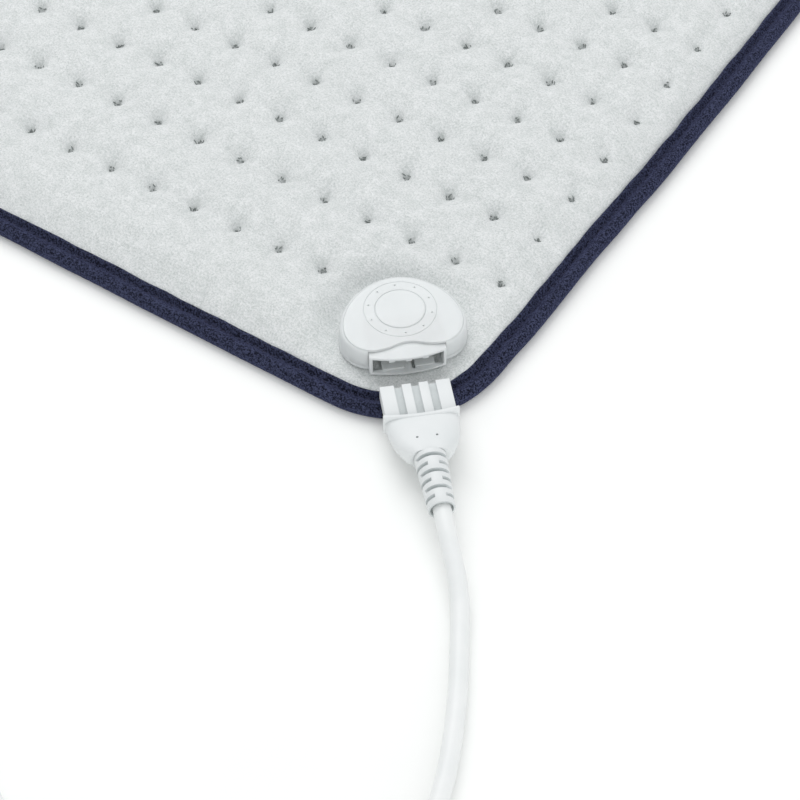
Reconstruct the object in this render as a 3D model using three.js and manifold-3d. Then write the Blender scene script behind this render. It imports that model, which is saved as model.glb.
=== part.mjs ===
// Heating pad with a plug-in hand controller, lying flat on a table.
// Millimetres, +Z up. The origin is on the table, under the middle of the pad.
import * as THREE from 'three';
import { mergeVertices } from 'three/addons/utils/BufferGeometryUtils.js';
import Module from 'manifold-3d';

const wasm = await Module();
wasm.setup();

// Driving sizes of the pad
const padLength = 420;
const padWidth = 320;
const cornerRadius = 40;
const bindingWidth = 9;
const bindingHeight = 5.1;
const tuftPitch = 17.25;
const columnMargin = 8;
const innerRows = 3;
const innerRowShare = 0.073;
const outerRowShare = 0.079;
const edgeRowShare = 0.0896;

// Layers of the pad, from the table up
const seatGap = 0.3;
const bottomCoverThickness = 1.8;
const feltThickness = 0.6;
const wireDiameter = 1.2;
const seatThickness = 0.6;
const tuftRise = 1.5;
const ridgeRise = 3.6;
const crownRise = 5.2;
const marginRise = 4.2;

// Socket on the corner of the pad
const socketInset = 37;
const socketTurn = -47.5;
const socketHeight = 8.9;
const heartHalfWidth = 20.1;
const heartBack = 15.2;
const heartWidest = 6;
const heartRoundness = 0.51;
const lobeFront = 15.6;
const lobeSpread = 10.5;
const notchFront = 14;
const heartShift = -0.7;
const housingWall = 1.5;
const coverBevel = 0.9;
const basePlateThickness = 1.5;
const mouthShift = -1.2;
const mouthFront = 17.9;
const mouthBow = 1.8;
const mouthDepth = 14.5;
const mouthHeight = 8;
const mouthWall = 0.95;
const carrierThickness = 2.8;
const railWidth = 1.9;
const railDepth = 0.7;
const contactPitch = 5.4;
const contactDiameter = 1.5;
const contactReach = 3.4;
const bossDiameter = 5.2;
const bossHeight = 5;
const bossSpread = 12.5;
const bossSetback = 3;
const screwDiameter = 2.2;
const screwHeadDiameter = 4.6;
const screwHeadHeight = 0.8;
const backingBarWidth = 9;
const leadHoleSetback = 9;
const innerLeadDiameter = 1;
const ringDiameter = 16.1;
const ringRise = 0.3;

// Plug on the pad lead, drawn out of the socket
const plugGap = 11.2;
const noseWidth = 22.2;
const noseLength = 11.9;
const grooveWidth = 2.5;
const grooveDepth = 1.3;
const contactBoreDepth = 5;
const flangeWidth = 24.1;
const flangeHeight = 7.7;
const flangeThickness = 1.5;
const flangeBow = 1;
const plugBodyLength = 15;
const cordDiameter = 5.8;
const plugReliefLength = 20.2;
const reliefStartDiameter = 10.4;
const reliefEndDiameter = 8;
const reliefSlots = 6;
const reliefSlotWidth = 1.3;
const reliefBridge = 3.4;
const collarDepth = 2;

// Hand controller
const handsetCentre = [5, -262];
const handsetLength = 118;
const handsetWidth = 44;
const handsetHeight = 22;
const handsetCornerRadius = 20;
const handsetWall = 2;
const handsetTopBevel = 4.5;
const handsetFootBevel = 2.5;
const boardThickness = 1.6;
const boardInset = 2.5;
const handsetScrewInset = 13;
const handsetScrewY = 11;
const handsetBossDiameter = 6;
const handsetScrewLength = 12;
const sliderTravel = 18;
const sliderShare = -0.12;
const sliderLength = 13;
const sliderWidth = 9.4;
const sliderRise = 2.2;
const sliderRecessDepth = 1.2;
const stemLength = 5;
const stemWidth = 4;
const levelSwitchHeight = 4.2;
const buttonShare = 0.28;
const buttonDiameter = 12;
const buttonRise = 1.4;
const buttonTravel = 1;
const buttonFlange = 1.2;
const buttonSwitchSize = 6;
const buttonSwitchHeight = 3.4;
const lampShare = 0.127;
const lampLength = 8;
const lampWidth = 3.4;
const fuseDiameter = 5;
const fuseLength = 20;
const fusePlace = 12;
const handsetReliefLength = 24;
const handsetReliefNeck = 7.6;

// Mains lead, wound up, and mains plug
const coilTurns = 7.5;
const coilLayers = 2;
const coilStepsPerTurn = 24;
const coilSides = 6;
const turnGap = 0.6;
const innerBendDiameters = 4;
const tieThickness = 0.8;
const tieWidth = 8;
const coilPlace = -135;
const mainsPlugStart = [-62, -188];
const mainsPlugHeading = -8;
const mainsReliefLength = 24;
const mainsBodyLength = 36;
const mainsBodyWidth = 35;
const mainsBodyHeight = 14;
const mainsPinDiameter = 4;
const mainsPinLength = 19;
const mainsPinPitch = 18.6;

// Overrun of every cut, and the number of sides of round pieces
const overrun = 1;
const fineSides = 24;
const mediumSides = 16;
const reliefSides = 12;
const coarseSides = 10;
const thinSides = 8;
const holeSides = 6;
const cordStepDiameters = 2.5;
const plugSquareness = 3.2;
const mainsPlugSquareness = 3.6;

// Levels that follow from the layers
const feltBottom = bottomCoverThickness + seatGap;
const feltTop = feltBottom + feltThickness;
const wireLevel = feltTop + seatGap + wireDiameter / 2;
const coverBottom = feltTop + 2 * seatGap + wireDiameter;
const seatLevel = coverBottom + seatThickness;
const baseBottom = seatLevel + seatGap;
const socketTop = baseBottom + socketHeight;
const mouthTop = baseBottom + mouthHeight;
const cavityFloor = baseBottom + mouthWall;
const cavityTop = mouthTop - mouthWall;
const plugLevel = (cavityFloor + cavityTop) / 2;
const noseHeight = cavityTop - cavityFloor - 2 * seatGap;
const mouthWidth = noseWidth + 2 * seatGap + 2 * mouthWall;
const sliderCentre = sliderShare * handsetLength;
const buttonCentre = buttonShare * handsetLength;
const lampCentre = lampShare * handsetLength;
const coilPitch = cordDiameter + turnGap;
const coilInnerRadius = innerBendDiameters * cordDiameter;
const coilOuterRadius = coilInnerRadius + (coilPitch * coilTurns) / coilLayers;
const coilLevel = tieThickness + seatGap + cordDiameter / 2;

// Finishes
const finish = (color, roughness, metalness = 0) =>
  new THREE.MeshStandardMaterial({ color, roughness, metalness });
const plushWhite = 0xe3e7e7;
const bindingNavy = 0x1f2548;
const plasticWhite = 0xe9eded;
const cordWhite = 0xe6e9e9;

// Turns a closed three.js geometry into a solid that can be joined and cut
function solid(geometry) {
  const bare = geometry.clone();
  bare.deleteAttribute('normal');
  bare.deleteAttribute('uv');
  const welded = mergeVertices(bare);
  return new wasm.Manifold(
    new wasm.Mesh({
      numProp: 3,
      vertProperties: new Float32Array(welded.attributes.position.array),
      triVerts: new Uint32Array(welded.index.array),
    }),
  );
}

// Turns a solid back into a geometry
function surface(body) {
  const mesh = body.getMesh();
  const geometry = new THREE.BufferGeometry();
  geometry.setAttribute('position', new THREE.BufferAttribute(mesh.vertProperties, 3));
  geometry.setIndex(new THREE.BufferAttribute(mesh.triVerts, 1));
  geometry.computeVertexNormals();
  return geometry;
}

// A box given by its lowest and highest corners
function block([x0, y0, z0], [x1, y1, z1]) {
  const geometry = new THREE.BoxGeometry(x1 - x0, y1 - y0, z1 - z0);
  return geometry.translate((x0 + x1) / 2, (y0 + y1) / 2, (z0 + z1) / 2);
}

// An upright cylinder from one level to another
function post(x, y, z0, z1, diameter, sides = coarseSides) {
  const geometry = new THREE.CylinderGeometry(diameter / 2, diameter / 2, z1 - z0, sides);
  return geometry.rotateX(Math.PI / 2).translate(x, y, (z0 + z1) / 2);
}

// A cylinder along X
function rod(x0, x1, y, z, diameter, sides = coarseSides) {
  const geometry = new THREE.CylinderGeometry(diameter / 2, diameter / 2, x1 - x0, sides);
  return geometry.rotateZ(Math.PI / 2).translate((x0 + x1) / 2, y, z);
}

// A turned piece along +X, from a profile of [place, radius] points that starts and ends on the axis
function turned(profile, sides) {
  const points = profile.map(([x, r]) => new THREE.Vector2(r, x));
  return new THREE.LatheGeometry(points, sides).rotateZ(-Math.PI / 2);
}

// A flat outline raised from one level to another, with optional bevels inside the outline
function raised(shape, z0, z1, bevel = 0, curveSegments = 6) {
  const geometry = new THREE.ExtrudeGeometry(shape, {
    depth: z1 - z0 - 2 * bevel,
    bevelEnabled: bevel > 0,
    bevelThickness: bevel,
    bevelSize: bevel,
    bevelOffset: -bevel,
    bevelSegments: 2,
    curveSegments,
  });
  return geometry.translate(0, 0, z0 + bevel);
}

function roundedRectangle(length, width, radius) {
  const [x, y] = [length / 2, width / 2];
  const shape = new THREE.Shape();
  shape.moveTo(-x + radius, -y);
  shape.lineTo(x - radius, -y);
  shape.absarc(x - radius, -y + radius, radius, -Math.PI / 2, 0);
  shape.lineTo(x, y - radius);
  shape.absarc(x - radius, y - radius, radius, 0, Math.PI / 2);
  shape.lineTo(-x + radius, y);
  shape.absarc(-x + radius, y - radius, radius, Math.PI / 2, Math.PI);
  shape.lineTo(-x, -y + radius);
  shape.absarc(-x + radius, -y + radius, radius, Math.PI, 1.5 * Math.PI);
  return shape;
}

// A plate seen from above whose edge towards the lead is bowed; its other edge may be bowed as well
function bowedPlate(back, front, width, bow, backBow = 0) {
  const shape = new THREE.Shape();
  shape.moveTo(back, -width / 2);
  shape.lineTo(front, -width / 2);
  shape.quadraticCurveTo(front + 2 * bow, 0, front, width / 2);
  shape.lineTo(back, width / 2);
  if (backBow > 0) shape.quadraticCurveTo(back + 2 * backBow, 0, back, -width / 2);
  return shape;
}

// Joins rings of equally many points into one closed skin; both ends are flat, or the rings meet
function skin(rings, closed = false) {
  const sides = rings[0].length;
  const positions = rings.flat().flatMap((p) => [p.x, p.y, p.z]);
  const triangles = [];
  const last = closed ? rings.length : rings.length - 1;
  for (let i = 0; i < last; i += 1) {
    const [a, b] = [i * sides, ((i + 1) % rings.length) * sides];
    for (let j = 0; j < sides; j += 1) {
      const k = (j + 1) % sides;
      triangles.push(a + j, a + k, b + j, a + k, b + k, b + j);
    }
  }
  if (!closed) {
    const end = (rings.length - 1) * sides;
    for (let j = 1; j < sides - 1; j += 1) {
      triangles.push(0, j + 1, j, end, end + j, end + j + 1);
    }
  }
  const geometry = new THREE.BufferGeometry();
  geometry.setAttribute('position', new THREE.Float32BufferAttribute(positions, 3));
  geometry.setIndex(triangles);
  geometry.computeVertexNormals();
  return geometry;
}

// A round tube whose rings stand square to a line of points that stays near level
function levelTube(points, diameter, sides) {
  const up = new THREE.Vector3(0, 0, 1);
  const rings = points.map((p, i) => {
    const before = points[Math.max(i - 1, 0)];
    const after = points[Math.min(i + 1, points.length - 1)];
    const along = after.clone().sub(before).normalize();
    const side = new THREE.Vector3().crossVectors(up, along).normalize();
    const top = new THREE.Vector3().crossVectors(along, side);
    return Array.from({ length: sides }, (_, j) => {
      const angle = ((j + 0.5) * 2 * Math.PI) / sides;
      return p
        .clone()
        .addScaledVector(side, (diameter / 2) * Math.cos(angle))
        .addScaledVector(top, (diameter / 2) * Math.sin(angle));
    });
  });
  return skin(rings);
}

// A free stretch of cord through hand-chosen points, leaving and arriving in line with its ends
function cordAlong(points, sides = thinSides) {
  const route = new THREE.CatmullRomCurve3(
    points.map((p) => new THREE.Vector3(...p)),
    false,
    'centripetal',
  );
  const section = new THREE.Shape();
  for (let j = 0; j < sides; j += 1) {
    const angle = ((j + 0.5) * 2 * Math.PI) / sides;
    const place = [(cordDiameter / 2) * Math.cos(angle), (cordDiameter / 2) * Math.sin(angle)];
    if (j === 0) section.moveTo(...place);
    else section.lineTo(...place);
  }
  const steps = Math.ceil(route.getLength() / (cordStepDiameters * cordDiameter));
  return new THREE.ExtrudeGeometry(section, { steps, extrudePath: route, bevelEnabled: false });
}

const heatingPad = new THREE.Group();

function piece(group, name, geometry, material) {
  const mesh = new THREE.Mesh(geometry, material);
  mesh.name = name;
  group.add(mesh);
  return mesh;
}

// Places of the sewn tufts
const coverLength = padLength - 2 * (bindingWidth + seatGap);
const coverWidth = padWidth - 2 * (bindingWidth + seatGap);
const coverRadius = cornerRadius - bindingWidth - seatGap;
const sideColumns = Math.floor((coverLength / 2 - columnMargin) / tuftPitch);
const columnCount = 2 * sideColumns + 1;
const columnPlaces = Array.from({ length: columnCount }, (_, i) => (i - sideColumns) * tuftPitch);
const upperRows = Array.from({ length: innerRows }, (_, i) => (i + 1) * innerRowShare * coverWidth);
upperRows.push(upperRows[innerRows - 1] + outerRowShare * coverWidth);
upperRows.push(upperRows[innerRows] + edgeRowShare * coverWidth);
const rowPlaces = [...upperRows.map((y) => -y).reverse(), 0, ...upperRows];

// Socket, plug and what lies in line with them share one turned frame: +X points out of the mouth
const socketCentre = [padLength / 2 - socketInset, -(padWidth / 2 - socketInset)];
const turn = THREE.MathUtils.degToRad(socketTurn);
const socket = new THREE.Group();
socket.position.set(socketCentre[0], socketCentre[1], 0);
socket.rotation.z = turn;
heatingPad.add(socket);

function socketToPad(out, across) {
  return [
    socketCentre[0] + out * Math.cos(turn) - across * Math.sin(turn),
    socketCentre[1] + out * Math.sin(turn) + across * Math.cos(turn),
  ];
}

function padToSocket(x, y) {
  const [dx, dy] = [x - socketCentre[0], y - socketCentre[1]];
  return [dx * Math.cos(turn) + dy * Math.sin(turn), -dx * Math.sin(turn) + dy * Math.cos(turn)];
}

const bossPlaces = [-1, 1].map((side) => [-bossSetback, heartShift + side * bossSpread]);
const leadHole = [-leadHoleSetback, heartShift];
const shaftHole = screwDiameter + 2 * seatGap;
const leadHoleDiameter = 2 * innerLeadDiameter + 5 * seatGap;

// Upper cover: plush over wadding, pulled down to a sewn tuft at each crossing of the grid,
// and pressed flat where the socket sits and where the plug passes over the hem
function topCover() {
  const between = (places) => places.slice(1).map((place, i) => (place + places[i]) / 2);
  const lines = (places, edge, marginLine) =>
    [...places, ...between(places), -edge, edge, ...marginLine].sort((a, b) => a - b);
  const [halfLength, halfWidth] = [coverLength / 2, coverWidth / 2];
  const lastRow = rowPlaces[rowPlaces.length - 1];
  const marginLine = (lastRow + halfWidth) / 2;
  const xs = lines(columnPlaces, halfLength, []);
  const ys = lines(rowPlaces, halfWidth, [-marginLine, marginLine]);
  const flatReach = 0.75 * tuftPitch;
  const arcCentre = [halfLength - coverRadius, halfWidth - coverRadius];

  const onOutline = (x, y) => {
    const beyond = [Math.abs(x) - arcCentre[0], Math.abs(y) - arcCentre[1]];
    if (beyond[0] <= 0 || beyond[1] <= 0) return [x, y];
    const pull = coverRadius / Math.hypot(...beyond);
    return [
      Math.sign(x) * (arcCentre[0] + beyond[0] * pull),
      Math.sign(y) * (arcCentre[1] + beyond[1] * pull),
    ];
  };
  const rise = (x, y) => {
    const [out, across] = padToSocket(x, y);
    const reachOut = (mouthFront + heartBack) / 2 + flatReach;
    const reachAcross = heartHalfWidth + flatReach;
    const middle = (mouthFront - heartBack) / 2;
    const reach = Math.hypot((out - middle) / reachOut, (across - heartShift) / reachAcross);
    if (reach < 1) return seatThickness;
    if (Math.abs(y) > lastRow) return marginRise;
    const onColumn = columnPlaces.includes(x);
    const onRow = rowPlaces.includes(y);
    if (onColumn && onRow) return tuftRise;
    return onColumn || onRow ? ridgeRise : crownRise;
  };

  const positions = [];
  xs.forEach((x, i) => {
    ys.forEach((y, j) => {
      const rim = i === 0 || j === 0 || i === xs.length - 1 || j === ys.length - 1;
      const [px, py] = rim ? onOutline(x, y) : [x, y];
      positions.push(px, py, rim ? coverBottom : coverBottom + rise(x, y));
    });
  });
  const at = (i, j) => i * ys.length + j;
  const triangles = [];
  for (let i = 0; i < xs.length - 1; i += 1) {
    for (let j = 0; j < ys.length - 1; j += 1) {
      const [a, b, c, d] = [at(i, j), at(i + 1, j), at(i + 1, j + 1), at(i, j + 1)];
      if ((i + j) % 2) triangles.push(a, b, c, a, c, d);
      else triangles.push(a, b, d, b, c, d);
    }
  }
  const rimLoop = [];
  for (let i = 0; i < xs.length - 1; i += 1) rimLoop.push(at(i, 0));
  for (let j = 0; j < ys.length - 1; j += 1) rimLoop.push(at(xs.length - 1, j));
  for (let i = xs.length - 1; i > 0; i -= 1) rimLoop.push(at(i, ys.length - 1));
  for (let j = ys.length - 1; j > 0; j -= 1) rimLoop.push(at(0, j));
  const flat = rimLoop.map((k) => new THREE.Vector2(positions[3 * k], positions[3 * k + 1]));
  THREE.ShapeUtils.triangulateShape(flat, []).forEach(([a, b, c]) => {
    triangles.push(rimLoop[a], rimLoop[c], rimLoop[b]);
  });
  const geometry = new THREE.BufferGeometry();
  geometry.setAttribute('position', new THREE.Float32BufferAttribute(positions, 3));
  geometry.setIndex(triangles);

  let cover = solid(geometry);
  const holes = [...bossPlaces.map((place) => [place, shaftHole]), [leadHole, leadHoleDiameter]];
  holes.forEach(([place, diameter]) => {
    const [x, y] = socketToPad(...place);
    const hole = post(x, y, coverBottom - overrun, seatLevel + overrun, diameter, holeSides);
    cover = cover.subtract(solid(hole));
  });
  return surface(cover);
}

piece(heatingPad, 'pad_top_cover', topCover(), finish(plushWhite, 0.95));
piece(
  heatingPad,
  'pad_bottom_cover',
  raised(roundedRectangle(coverLength, coverWidth, coverRadius), 0, bottomCoverThickness),
  finish(plushWhite, 0.95),
);
piece(
  heatingPad,
  'element_felt',
  raised(roundedRectangle(coverLength, coverWidth, coverRadius), feltBottom, feltTop),
  finish(0xd9d6cc, 0.95),
);

// Hem: a folded tape sewn round the edge, a flat inner lip and a fat outer roll
function edgeBinding() {
  const widthShares = [0, 0.04, 0.92, 1, 0.98, 0.86, 0.68, 0.5, 0.41, 0.32, 0.14, 0];
  const heightShares = [0.3, 0, 0, 0.3, 0.66, 0.92, 1, 0.88, 0.62, 0.8, 0.86, 0.7];
  const arcSteps = 6;
  const [cx, cy] = [padLength / 2 - cornerRadius, padWidth / 2 - cornerRadius];
  const corners = [
    [cx, -cy],
    [cx, cy],
    [-cx, cy],
    [-cx, -cy],
  ];
  const rings = corners.flatMap(([x, y], quarter) =>
    Array.from({ length: arcSteps + 1 }, (_, i) => {
      const angle = ((quarter - 1 + i / arcSteps) * Math.PI) / 2;
      return widthShares.map((share, k) => {
        const reach = cornerRadius - bindingWidth * (1 - share);
        return new THREE.Vector3(
          x + reach * Math.cos(angle),
          y + reach * Math.sin(angle),
          bindingHeight * heightShares[k],
        );
      });
    }),
  );
  return skin(rings.map((ring) => ring.reverse()), true);
}

piece(heatingPad, 'edge_binding', edgeBinding(), finish(bindingNavy, 0.9));

// Heating wire: one serpentine between the tuft rows, both of its ends under the socket
function heatingWire() {
  const passes = rowPlaces.slice(1).map((y, i) => (y + rowPlaces[i]) / 2);
  const turnSteps = 5;
  const edge = columnPlaces[columnPlaces.length - 1];
  const returnRun = (edge + coverLength / 2) / 2;
  const bend = (passes[1] - passes[0]) / 2;
  const farEnd = edge - bend - wireDiameter;
  const [startX, startY] = socketToPad(-leadHoleSetback, heartShift - innerLeadDiameter);
  const points = [
    [startX, startY],
    [startX - bend, passes[0]],
  ];
  passes.forEach((y, i) => {
    const side = i % 2 ? 1 : -1;
    if (i === passes.length - 1) return;
    const next = passes[i + 1];
    for (let k = 0; k <= turnSteps; k += 1) {
      const angle = -Math.PI / 2 + (k * Math.PI) / turnSteps;
      const half = (next - y) / 2;
      points.push([side * (farEnd + half * Math.cos(angle)), y + half + half * Math.sin(angle)]);
    }
  });
  const [endX, endY] = socketToPad(-leadHoleSetback, heartShift + innerLeadDiameter);
  const top = passes[passes.length - 1];
  points.push([returnRun - bend, top], [returnRun, top - bend], [returnRun, passes[0] + bend]);
  points.push([returnRun - bend, passes[0] + bend / 2], [endX + bend / 2, passes[0]], [endX, endY]);
  return levelTube(
    points.map(([x, y]) => new THREE.Vector3(x, y, wireLevel)),
    wireDiameter,
    coilSides,
  );
}

piece(heatingPad, 'heating_wire', heatingWire(), finish(0xc9a98b, 0.5));

// Overheat guard: a flat thermal switch between two tufts in the middle of the pad
const guardLength = 0.7 * tuftPitch;
const guardWidth = 0.35 * tuftPitch;
piece(
  heatingPad,
  'overheat_guard',
  block(
    [tuftPitch / 2 - guardLength / 2, -guardWidth / 2, wireLevel - wireDiameter / 2],
    [tuftPitch / 2 + guardLength / 2, guardWidth / 2, wireLevel + wireDiameter / 2],
  ),
  finish(0x8d9296, 0.35, 0.8),
);

// Outline of the socket housing, drawn in by an inset
function heart(inset) {
  const halfWidth = heartHalfWidth - inset;
  const back = heartBack + heartWidest - inset;
  const lobeDepth = lobeFront - heartWidest - inset;
  const lobeWidth = heartHalfWidth - lobeSpread - inset;
  const shape = new THREE.Shape();
  shape.moveTo(lobeFront - inset, heartShift - lobeSpread);
  shape.bezierCurveTo(
    lobeFront - inset,
    heartShift - lobeSpread / 2,
    notchFront - inset,
    heartShift - lobeSpread / 3,
    notchFront - inset,
    heartShift,
  );
  shape.bezierCurveTo(
    notchFront - inset,
    heartShift + lobeSpread / 3,
    lobeFront - inset,
    heartShift + lobeSpread / 2,
    lobeFront - inset,
    heartShift + lobeSpread,
  );
  shape.absellipse(heartWidest, heartShift + lobeSpread, lobeDepth, lobeWidth, 0, Math.PI / 2);
  shape.bezierCurveTo(
    heartWidest - heartRoundness * back,
    heartShift + halfWidth,
    heartWidest - back,
    heartShift + heartRoundness * halfWidth,
    heartWidest - back,
    heartShift,
  );
  shape.bezierCurveTo(
    heartWidest - back,
    heartShift - heartRoundness * halfWidth,
    heartWidest - heartRoundness * back,
    heartShift - halfWidth,
    heartWidest,
    heartShift - halfWidth,
  );
  shape.absellipse(heartWidest, heartShift - lobeSpread, lobeDepth, lobeWidth, -Math.PI / 2, 0);
  return shape;
}

const mouthBack = mouthFront - mouthDepth;
const [mouthLow, mouthHigh] = [mouthShift - mouthWidth / 2, mouthShift + mouthWidth / 2];
const cavityBack = mouthBack + seatGap + carrierThickness;

// Lower shell of the socket: heart-shaped plate, screw bosses and the mouth with its bowed front
function socketBase() {
  const mouth = raised(bowedPlate(mouthBack, mouthFront, mouthWidth, mouthBow), baseBottom, mouthTop);
  let base = solid(raised(heart(0), baseBottom, baseBottom + basePlateThickness));
  base = base.add(solid(mouth.translate(0, mouthShift, 0)));
  bossPlaces.forEach(([x, y]) => {
    base = base.add(solid(post(x, y, baseBottom, baseBottom + bossHeight, bossDiameter)));
  });
  const cavity = block(
    [mouthBack - overrun, mouthLow + mouthWall, cavityFloor],
    [mouthFront + mouthBow + overrun, mouthHigh - mouthWall, cavityTop],
  );
  base = base.subtract(solid(cavity));
  bossPlaces.forEach(([x, y]) => {
    const top = baseBottom + bossHeight - overrun;
    base = base.subtract(solid(post(x, y, baseBottom - overrun, top, shaftHole, holeSides)));
  });
  const throughHole = post(...leadHole, baseBottom - overrun, mouthTop, leadHoleDiameter, holeSides);
  return surface(base.subtract(solid(throughHole)));
}

// Upper shell of the socket: a bevelled heart-shaped cap with a raised round field
function socketCover() {
  const bottom = baseBottom + basePlateThickness + seatGap;
  const roof = socketTop - housingWall;
  const tall = raised(heart(0), bottom - 2 * coverBevel, socketTop, coverBevel);
  const below = block(
    [-2 * heartBack, -2 * heartHalfWidth, 0],
    [2 * mouthFront, 2 * heartHalfWidth, bottom],
  );
  const clearMouth = block(
    [mouthBack - seatGap, mouthLow - seatGap, bottom - overrun],
    [mouthFront + overrun, mouthHigh + seatGap, mouthTop + seatGap],
  );
  const [fieldLow, fieldHigh] = [socketTop - ringRise, socketTop + ringRise];
  const field = post(0, heartShift, fieldLow, fieldHigh, ringDiameter, fineSides);
  return surface(
    solid(tall)
      .subtract(solid(below))
      .subtract(solid(raised(heart(housingWall), bottom - overrun, roof)))
      .subtract(solid(clearMouth))
      .add(solid(field)),
  );
}

// Contact carrier: closes the back of the mouth, with three guide rails under its roof
const contactPlaces = [-1, 0, 1].map((side) => mouthShift + side * contactPitch);
const contactHole = contactDiameter + 2 * seatGap;
function contactCarrier() {
  const sideLow = mouthLow + mouthWall + seatGap;
  const sideHigh = mouthHigh - mouthWall - seatGap;
  const top = cavityTop - seatGap;
  const back = mouthBack + seatGap;
  let carrier = solid(block([back, sideLow, cavityFloor + seatGap], [cavityBack, sideHigh, top]));
  contactPlaces.forEach((y) => {
    const bow = mouthBow * (1 - ((2 * (y - mouthShift)) / mouthWidth) ** 2);
    const rail = block(
      [cavityBack - overrun, y - railWidth / 2, top - railDepth],
      [mouthFront + bow - seatGap, y + railWidth / 2, top],
    );
    carrier = carrier.add(solid(rail));
  });
  contactPlaces.forEach((y) => {
    const hole = rod(mouthBack - overrun, cavityBack + overrun, y, plugLevel, contactHole, holeSides);
    carrier = carrier.subtract(solid(hole));
  });
  return surface(carrier);
}

const whitePlastic = () => finish(plasticWhite, 0.45);
piece(socket, 'socket_base', socketBase(), whitePlastic());
piece(socket, 'socket_cover', socketCover(), whitePlastic());
piece(socket, 'contact_carrier', contactCarrier(), finish(0xcfd4d5, 0.5));
contactPlaces.forEach((y, i) => {
  const back = mouthBack - contactDiameter;
  const tip = cavityBack + contactReach;
  const profile = [
    [back, 0],
    [back, contactDiameter / 2],
    [tip - contactDiameter / 2, contactDiameter / 2],
    [tip, contactDiameter / 4],
    [tip, 0],
  ];
  const pin = turned(profile, coarseSides).translate(0, y, plugLevel);
  piece(socket, `socket_contact_${i + 1}`, pin, finish(0xc8b06a, 0.3, 0.9));
});

// Backing bar inside the pad, and the two screws that clamp the cover between it and the socket
const barBottom = feltTop + seatGap;
const barTop = coverBottom - seatGap;
function backingBar() {
  const halfSpan = bossSpread + bossDiameter;
  let bar = solid(
    block(
      [-bossSetback - backingBarWidth / 2, heartShift - halfSpan, barBottom],
      [-bossSetback + backingBarWidth / 2, heartShift + halfSpan, barTop],
    ),
  );
  bossPlaces.forEach(([x, y]) => {
    const headRoom = screwHeadDiameter + 2 * seatGap;
    const seat = barBottom + screwHeadHeight + seatGap;
    bar = bar.subtract(solid(post(x, y, barBottom - overrun, seat, headRoom)));
    bar = bar.subtract(solid(post(x, y, barBottom - overrun, barTop + overrun, shaftHole, holeSides)));
  });
  return surface(bar);
}

// A screw standing on its head, tip up
function screw(headDiameter, headHeight, shaftDiameter, length) {
  const profile = [
    [0, 0],
    [0, headDiameter / 2],
    [headHeight, headDiameter / 2],
    [headHeight, shaftDiameter / 2],
    [length - shaftDiameter / 2, shaftDiameter / 2],
    [length, 0],
  ];
  const points = profile.map(([z, r]) => new THREE.Vector2(r, z));
  return new THREE.LatheGeometry(points, thinSides).rotateX(Math.PI / 2);
}

piece(socket, 'socket_backing_bar', backingBar(), finish(0xbfc4c6, 0.5));
bossPlaces.forEach(([x, y], i) => {
  const length = baseBottom + bossHeight - overrun - seatGap - barBottom;
  const body = screw(screwHeadDiameter, screwHeadHeight, screwDiameter, length);
  piece(socket, `socket_screw_${i + 1}`, body.translate(x, y, barBottom), finish(0x9a9ea1, 0.3, 0.9));
});

// Short leads from the two ends of the heating wire up behind the contacts
[-1, 1].forEach((side, i) => {
  const y = heartShift + side * innerLeadDiameter;
  const bottom = wireLevel + wireDiameter / 2 + seatGap;
  const end = mouthBack - contactDiameter - seatGap;
  const lead = post(-leadHoleSetback, y, bottom, plugLevel, innerLeadDiameter, thinSides);
  const run = rod(-leadHoleSetback, end, y, plugLevel, innerLeadDiameter, thinSides);
  const joined = solid(lead).add(solid(run));
  piece(socket, `element_lead_${i + 1}`, surface(joined), finish(0xb9402f, 0.6));
});

// A skin through rounded sections; each section is [place, half width, half height] along +X, and
// the underside may be cut level at a depth
function lofted(sections, squareness, steps, depth = Infinity) {
  const rings = sections.map(([x, halfWidth, halfHeight]) =>
    Array.from({ length: steps }, (_, i) => {
      const angle = ((i + 0.5) * 2 * Math.PI) / steps;
      const [c, s] = [Math.cos(angle), Math.sin(angle)];
      return new THREE.Vector3(
        x,
        halfWidth * Math.sign(c) * Math.abs(c) ** (2 / squareness),
        Math.max(-depth, halfHeight * Math.sign(s) * Math.abs(s) ** (2 / squareness)),
      );
    }),
  );
  return skin(rings);
}

// Plug: everything on it is placed from the front of its nose
const plug = new THREE.Group();
plug.position.set(mouthFront + plugGap, mouthShift, plugLevel);
socket.add(plug);

const sleeveDiameter = contactDiameter + 3 * seatGap;
function plugNose() {
  const outline = bowedPlate(0, noseLength - seatGap, noseWidth, flangeBow);
  let nose = solid(raised(outline, -noseHeight / 2, noseHeight / 2));
  [-1, 0, 1].forEach((side) => {
    const y = side * contactPitch;
    const groove = block(
      [-overrun, y - grooveWidth / 2, noseHeight / 2 - grooveDepth],
      [noseLength + flangeBow + overrun, y + grooveWidth / 2, noseHeight / 2 + overrun],
    );
    nose = nose.subtract(solid(groove));
    const bore = rod(-overrun, contactBoreDepth + seatGap, y, 0, sleeveDiameter + 2 * seatGap);
    nose = nose.subtract(solid(bore));
  });
  return surface(nose);
}

const flangeBack = noseLength + flangeThickness;
const reliefStart = flangeBack + plugBodyLength;

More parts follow.
